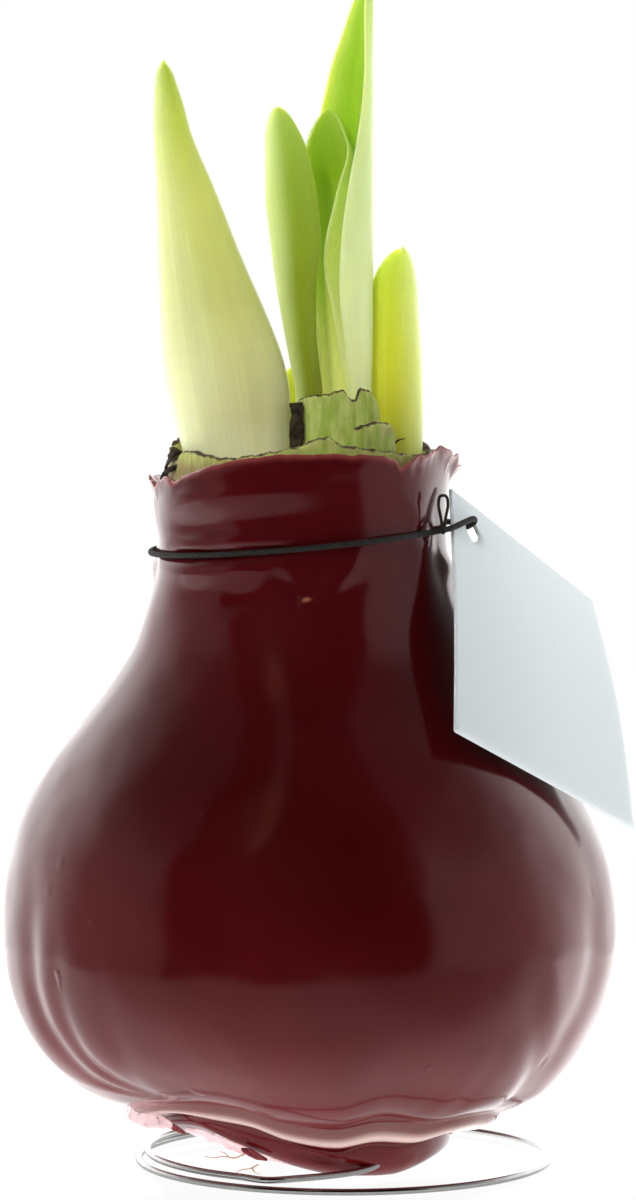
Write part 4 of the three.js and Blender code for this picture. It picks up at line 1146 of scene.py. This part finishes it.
def card_finish():
    card = Finish("bare silver-grey card", IOR=1.45)
    fibre = card.noise(card.at, 1500, 3)
    across, down, _ = card.parts(card.growth())
    lit = card.layers(paint(212, 220, 222), (fibre * 0.5, (226, 234, 235)))
    # Painted light: the card is darker towards its top left and lighter towards its right and bottom.
    base = card.mix(across.step(-0.1, 0.7) * 0.6 + down * 0.4, paint(196, 204, 207), lit)
    reverse = card.mark("reverse").step(0.3, 0.7)
    base = card.layers(base, (reverse, (17, 16, 18)), (card.mark("rim") * 0.5, (226, 230, 230)))
    felted = card.bump(fibre, distance=0.00008, strength=0.25)
    card.set(Base_Color=base, Roughness=0.42 + fibre * 0.1, Normal=felted)
    return card


def steel_finish():
    steel = Finish("bright steel wire", Metallic=1.0)
    drawn = steel.noise(steel.stretched(steel.at, (1, 1, 4)), 500, 3)
    base = steel.mix(drawn, paint(156, 156, 158), paint(190, 190, 186))
    lines = steel.bump(drawn, distance=0.00005, strength=0.2)
    steel.set(Base_Color=base, Roughness=0.1 + drawn * 0.08, Normal=lines)
    return steel


# ------------ assembly

gloss_wax = wax_finish("dark red gloss wax", deep=(68, 8, 12), bright=(59, 5, 7), edge=(140, 66, 62))
settled(wax_coat(), gloss_wax, "wax", "wax_coat")
stumps = [scale_stump(number, *scale) for number, scale in enumerate(SCALES)]
settled(joined("bulb_and_cut_scales", [bulb_flesh(), *stumps]), stump_finish(), "bulb_scales", "bulb")

# Colours from foot to tip: outer face, then inner face. One row is for a shoot with both alike. The bud's
# second row is no inner face but painted shade down its right side.
BUD_FACE_AND_SHADED_SIDE = [
    [(248, 248, 224), (210, 210, 154), (194, 198, 118), (202, 208, 110), (190, 204, 84), (160, 182, 62)],
    [(150, 152, 84), (138, 146, 64), (146, 158, 68), (156, 170, 72), (160, 178, 70), (146, 168, 56)],
]
LEAF_FACES = {
    "leaf_round": [
        [(142, 148, 50), (128, 140, 28), (128, 146, 28), (142, 166, 50), (162, 188, 88)],
        [(160, 180, 90), (140, 166, 60), (134, 164, 50), (130, 162, 46), (140, 174, 60)]],
    "leaf_cupped": [
        [(234, 232, 184), (226, 228, 160), (178, 198, 78), (146, 178, 56), (146, 180, 74)],
        [(234, 234, 180), (228, 230, 164), (164, 190, 74), (136, 170, 28), (148, 180, 62)]],
    "leaf_inner": [[(236, 236, 184), (230, 232, 164), (212, 220, 118), (186, 202, 84), (176, 196, 78)]],
    "leaf_tall": [
        [(226, 232, 176), (220, 230, 166), (198, 216, 148), (192, 214, 144), (174, 202, 106)],
        [(190, 206, 110), (164, 190, 62), (146, 180, 44), (146, 180, 44), (160, 190, 70)]],
    "leaf_right": [
        [(176, 176, 62), (188, 188, 62), (194, 198, 58), (186, 198, 60), (176, 196, 78)],
        [(190, 196, 80), (186, 196, 70), (180, 194, 60), (176, 196, 60), (176, 194, 76)]],
    "leaf_back": [[(220, 218, 80), (216, 216, 70), (208, 212, 66), (202, 208, 70), (196, 204, 80)]],
}

# Where across the leaf its middle lies, and how far its sides are paled by painted side light.
LEAF_LIT_SIDES = {"leaf_round": (0.68, 0.8), "leaf_right": (0.3, 0.55), "leaf_cupped": (0.5, 0.12)}

# The bud's left side is paled by painted side light, and its right side darkened by painted shade.
sheath = leaf_finish("bud sheath", BUD_FACE_AND_SHADED_SIDE, (208, 214, 174), vein=0.05, glow=0.5, middle=0.5)
settled(bud_shoot(), sheath, "bud", "bud_shoot")
for node, leaf in LEAVES.items():
    middle, glow = LEAF_LIT_SIDES.get(node, (0.5, 0.35))
    skin = node.replace("_", " ") + " skin"
    finish = leaf_finish(skin, LEAF_FACES[node], (202, 214, 152), vein=0.08, glow=glow, middle=middle)
    slot = "young_leaf" if node in ("leaf_right", "leaf_back") else "leaf"
    settled(leaf_blade(node + "_blade", *leaf), finish, slot, node)

elastic = mottled(
    "black elastic", scale=2600, detail=2, dark=(12, 12, 11), light=(50, 48, 42), depth=0.0002,
    strength=0.8, IOR=1.4, Roughness=0.75)
settled(neck_cord(), elastic, "elastic", "neck_cord")
settled(tag_card(), card_finish(), "card", "tag")
settled(wire_stand(), steel_finish(), "wire", "wire_stand")

# This brown also colours the dark strip of painted shade by the bud's foot.
dry = mottled(
    "dried brown skin and painted shade", scale=900, detail=3, dark=(22, 18, 12), light=(62, 50, 35), depth=0.0003,
    strength=0.7, spread=(0.3, 0.7), IOR=1.4, Roughness=0.7)
settled(dried_scraps_and_shade_strip(), dry, "bulb_scales")
thin_wax = wax_finish("thin torn wax", deep=(150, 96, 100), bright=(112, 44, 48), edge=(206, 182, 184))
settled(torn_scraps(), thin_wax, "wax")
folded_wax = wax_finish("folded wax scrap", deep=(52, 8, 12), bright=(46, 5, 8), edge=(96, 34, 36))
settled(folded_scraps(), folded_wax, "wax")
root = mottled(
    "dry root", scale=1800, detail=2, dark=(150, 104, 84), light=(206, 170, 146), depth=0.0001,
    strength=0.6, Roughness=0.8)
settled(roots(), root, "bulb_scales")


# ------------ floor and light

TABLE_RADIUS = 0.26


def lit_table():
    """A white table lit from below: it glows most under the bulb and darkens towards the front."""
    bpy.ops.object.select_all(action="DESELECT")
    bpy.ops.mesh.primitive_circle_add(vertices=128, radius=TABLE_RADIUS, fill_type="NGON", location=RING)
    floor = bpy.context.object
    floor.name = "lit_table"
    bpy.ops.object.transform_apply(location=True)
    table = Finish("lit table top")
    table.tree.nodes.remove(table.shader)
    across, ahead, _ = table.parts(table.at)
    near = ahead.step(-0.26, -0.16) * 0.5 + ahead.step(-0.13, -0.06) * 0.2 + ahead.step(-0.07, -0.04) * 0.6
    side, forward = across - RING.x, ahead - RING.y
    under = 1 - ((side * side + forward * forward) ** 0.5).step(0.03, 0.045)
    right = side.step(-0.05, 0.05)
    behind = (ahead + right * 0.03).step(0.01, 0.05) * (0.3 + right * 0.8)
    behind = behind + ahead.step(0.08, 0.2) * (1 - right) * 0.5
    shaded = side.step(0.01, 0.07) * (1 - ahead.step(-0.06, -0.01)) * 0.35
    direct = table.node("LightPath", out="Is Camera Ray")
    mirrored = table.node("LightPath", out="Is Glossy Ray")
    glow = near * (3.4 - mirrored * (2.4 + under * 0.5 + shaded - behind)) * (1 - direct) + direct
    glow = table.node("Emission", {"Color": (1, 1, 1), "Strength": glow})
    sheen = table.node("BsdfGlossy", {"Color": (1, 1, 1), "Roughness": 0.08})
    surface = table.node("MixShader", {0: 0.05, 1: glow, 2: sheen})
    table.feed(table.tree.nodes["Material Output"].inputs["Surface"], surface)
    floor.data.materials.append(table.material)


def studio():
    """Bright walls at the sides and back, and a dark room in front and overhead, all out of sight."""
    world = bpy.data.worlds.new("studio")
    world.use_nodes = True
    bpy.context.scene.world = world
    room = Graph(world.node_tree)
    background = world.node_tree.nodes["Background"]
    x, y, z = room.parts(room.node("TexCoord", out="Generated"))
    front = (0 - y) / ((x * x + y * y) ** 0.5).at_least(0.001)
    right = x.step(-0.3, 0.3)
    behind = (right * 0.15 - front).step(0, 0.8)
    seen = 1 - (front - right * 0.13).step(0.50, 0.57)
    walls = seen * (0.42 + right * 0.17 - front * 0.1 + behind * 1.4)
    glossy = walls * (1 - z.step(0.35, 0.8) * 0.8) + 0.01
    soft = (1.55 - front.step(-0.4, 0.8) * 1.35) * (1 - x * 0.18)
    aside, up = x * 0.92 - y * 0.39, z - 0.79
    warm = 1 - ((aside * aside * 5 + up * up * 0.8) ** 0.5).step(0, 0.2)
    warm = warm * (0 - y).step(0.1, 0.3)
    reflected = room.node("LightPath", out="Is Glossy Ray")
    direct = room.node("LightPath", out="Is Camera Ray")
    light = soft * (1 - reflected) + (glossy + warm * 0.6) * reflected
    room.feed(background.inputs["Color"], room.mix(warm * reflected, (1, 1, 1), (1, 0.42, 0.12)))
    room.feed(background.inputs["Strength"], light * (1 - direct) + direct)


def soft_lamp(name, place, aim, size, energy, spread):
    """A round soft lamp that is not seen in the gloss."""
    bpy.ops.object.light_add(type="AREA", location=RING + Vector(place))
    lamp = bpy.context.object
    lamp.name = name
    lamp.data.shape = "DISK"
    lamp.data.size = size
    lamp.data.energy = energy
    lamp.data.spread = math.radians(spread)
    lamp.visible_glossy = False
    lamp.rotation_euler = (RING + Vector(aim) - lamp.location).to_track_quat("-Z", "Y").to_euler()


lit_table()
studio()
soft_lamp(
    "soft_front_light", place=(-0.2, -0.6, 0.35), aim=(0, 0, 0.08), size=0.6, energy=1.25, spread=180)
soft_lamp(
    "shoot_light", place=(-0.2, -0.32, 0.45), aim=(-0.005, 0, 0.158), size=0.14, energy=0.022, spread=16)
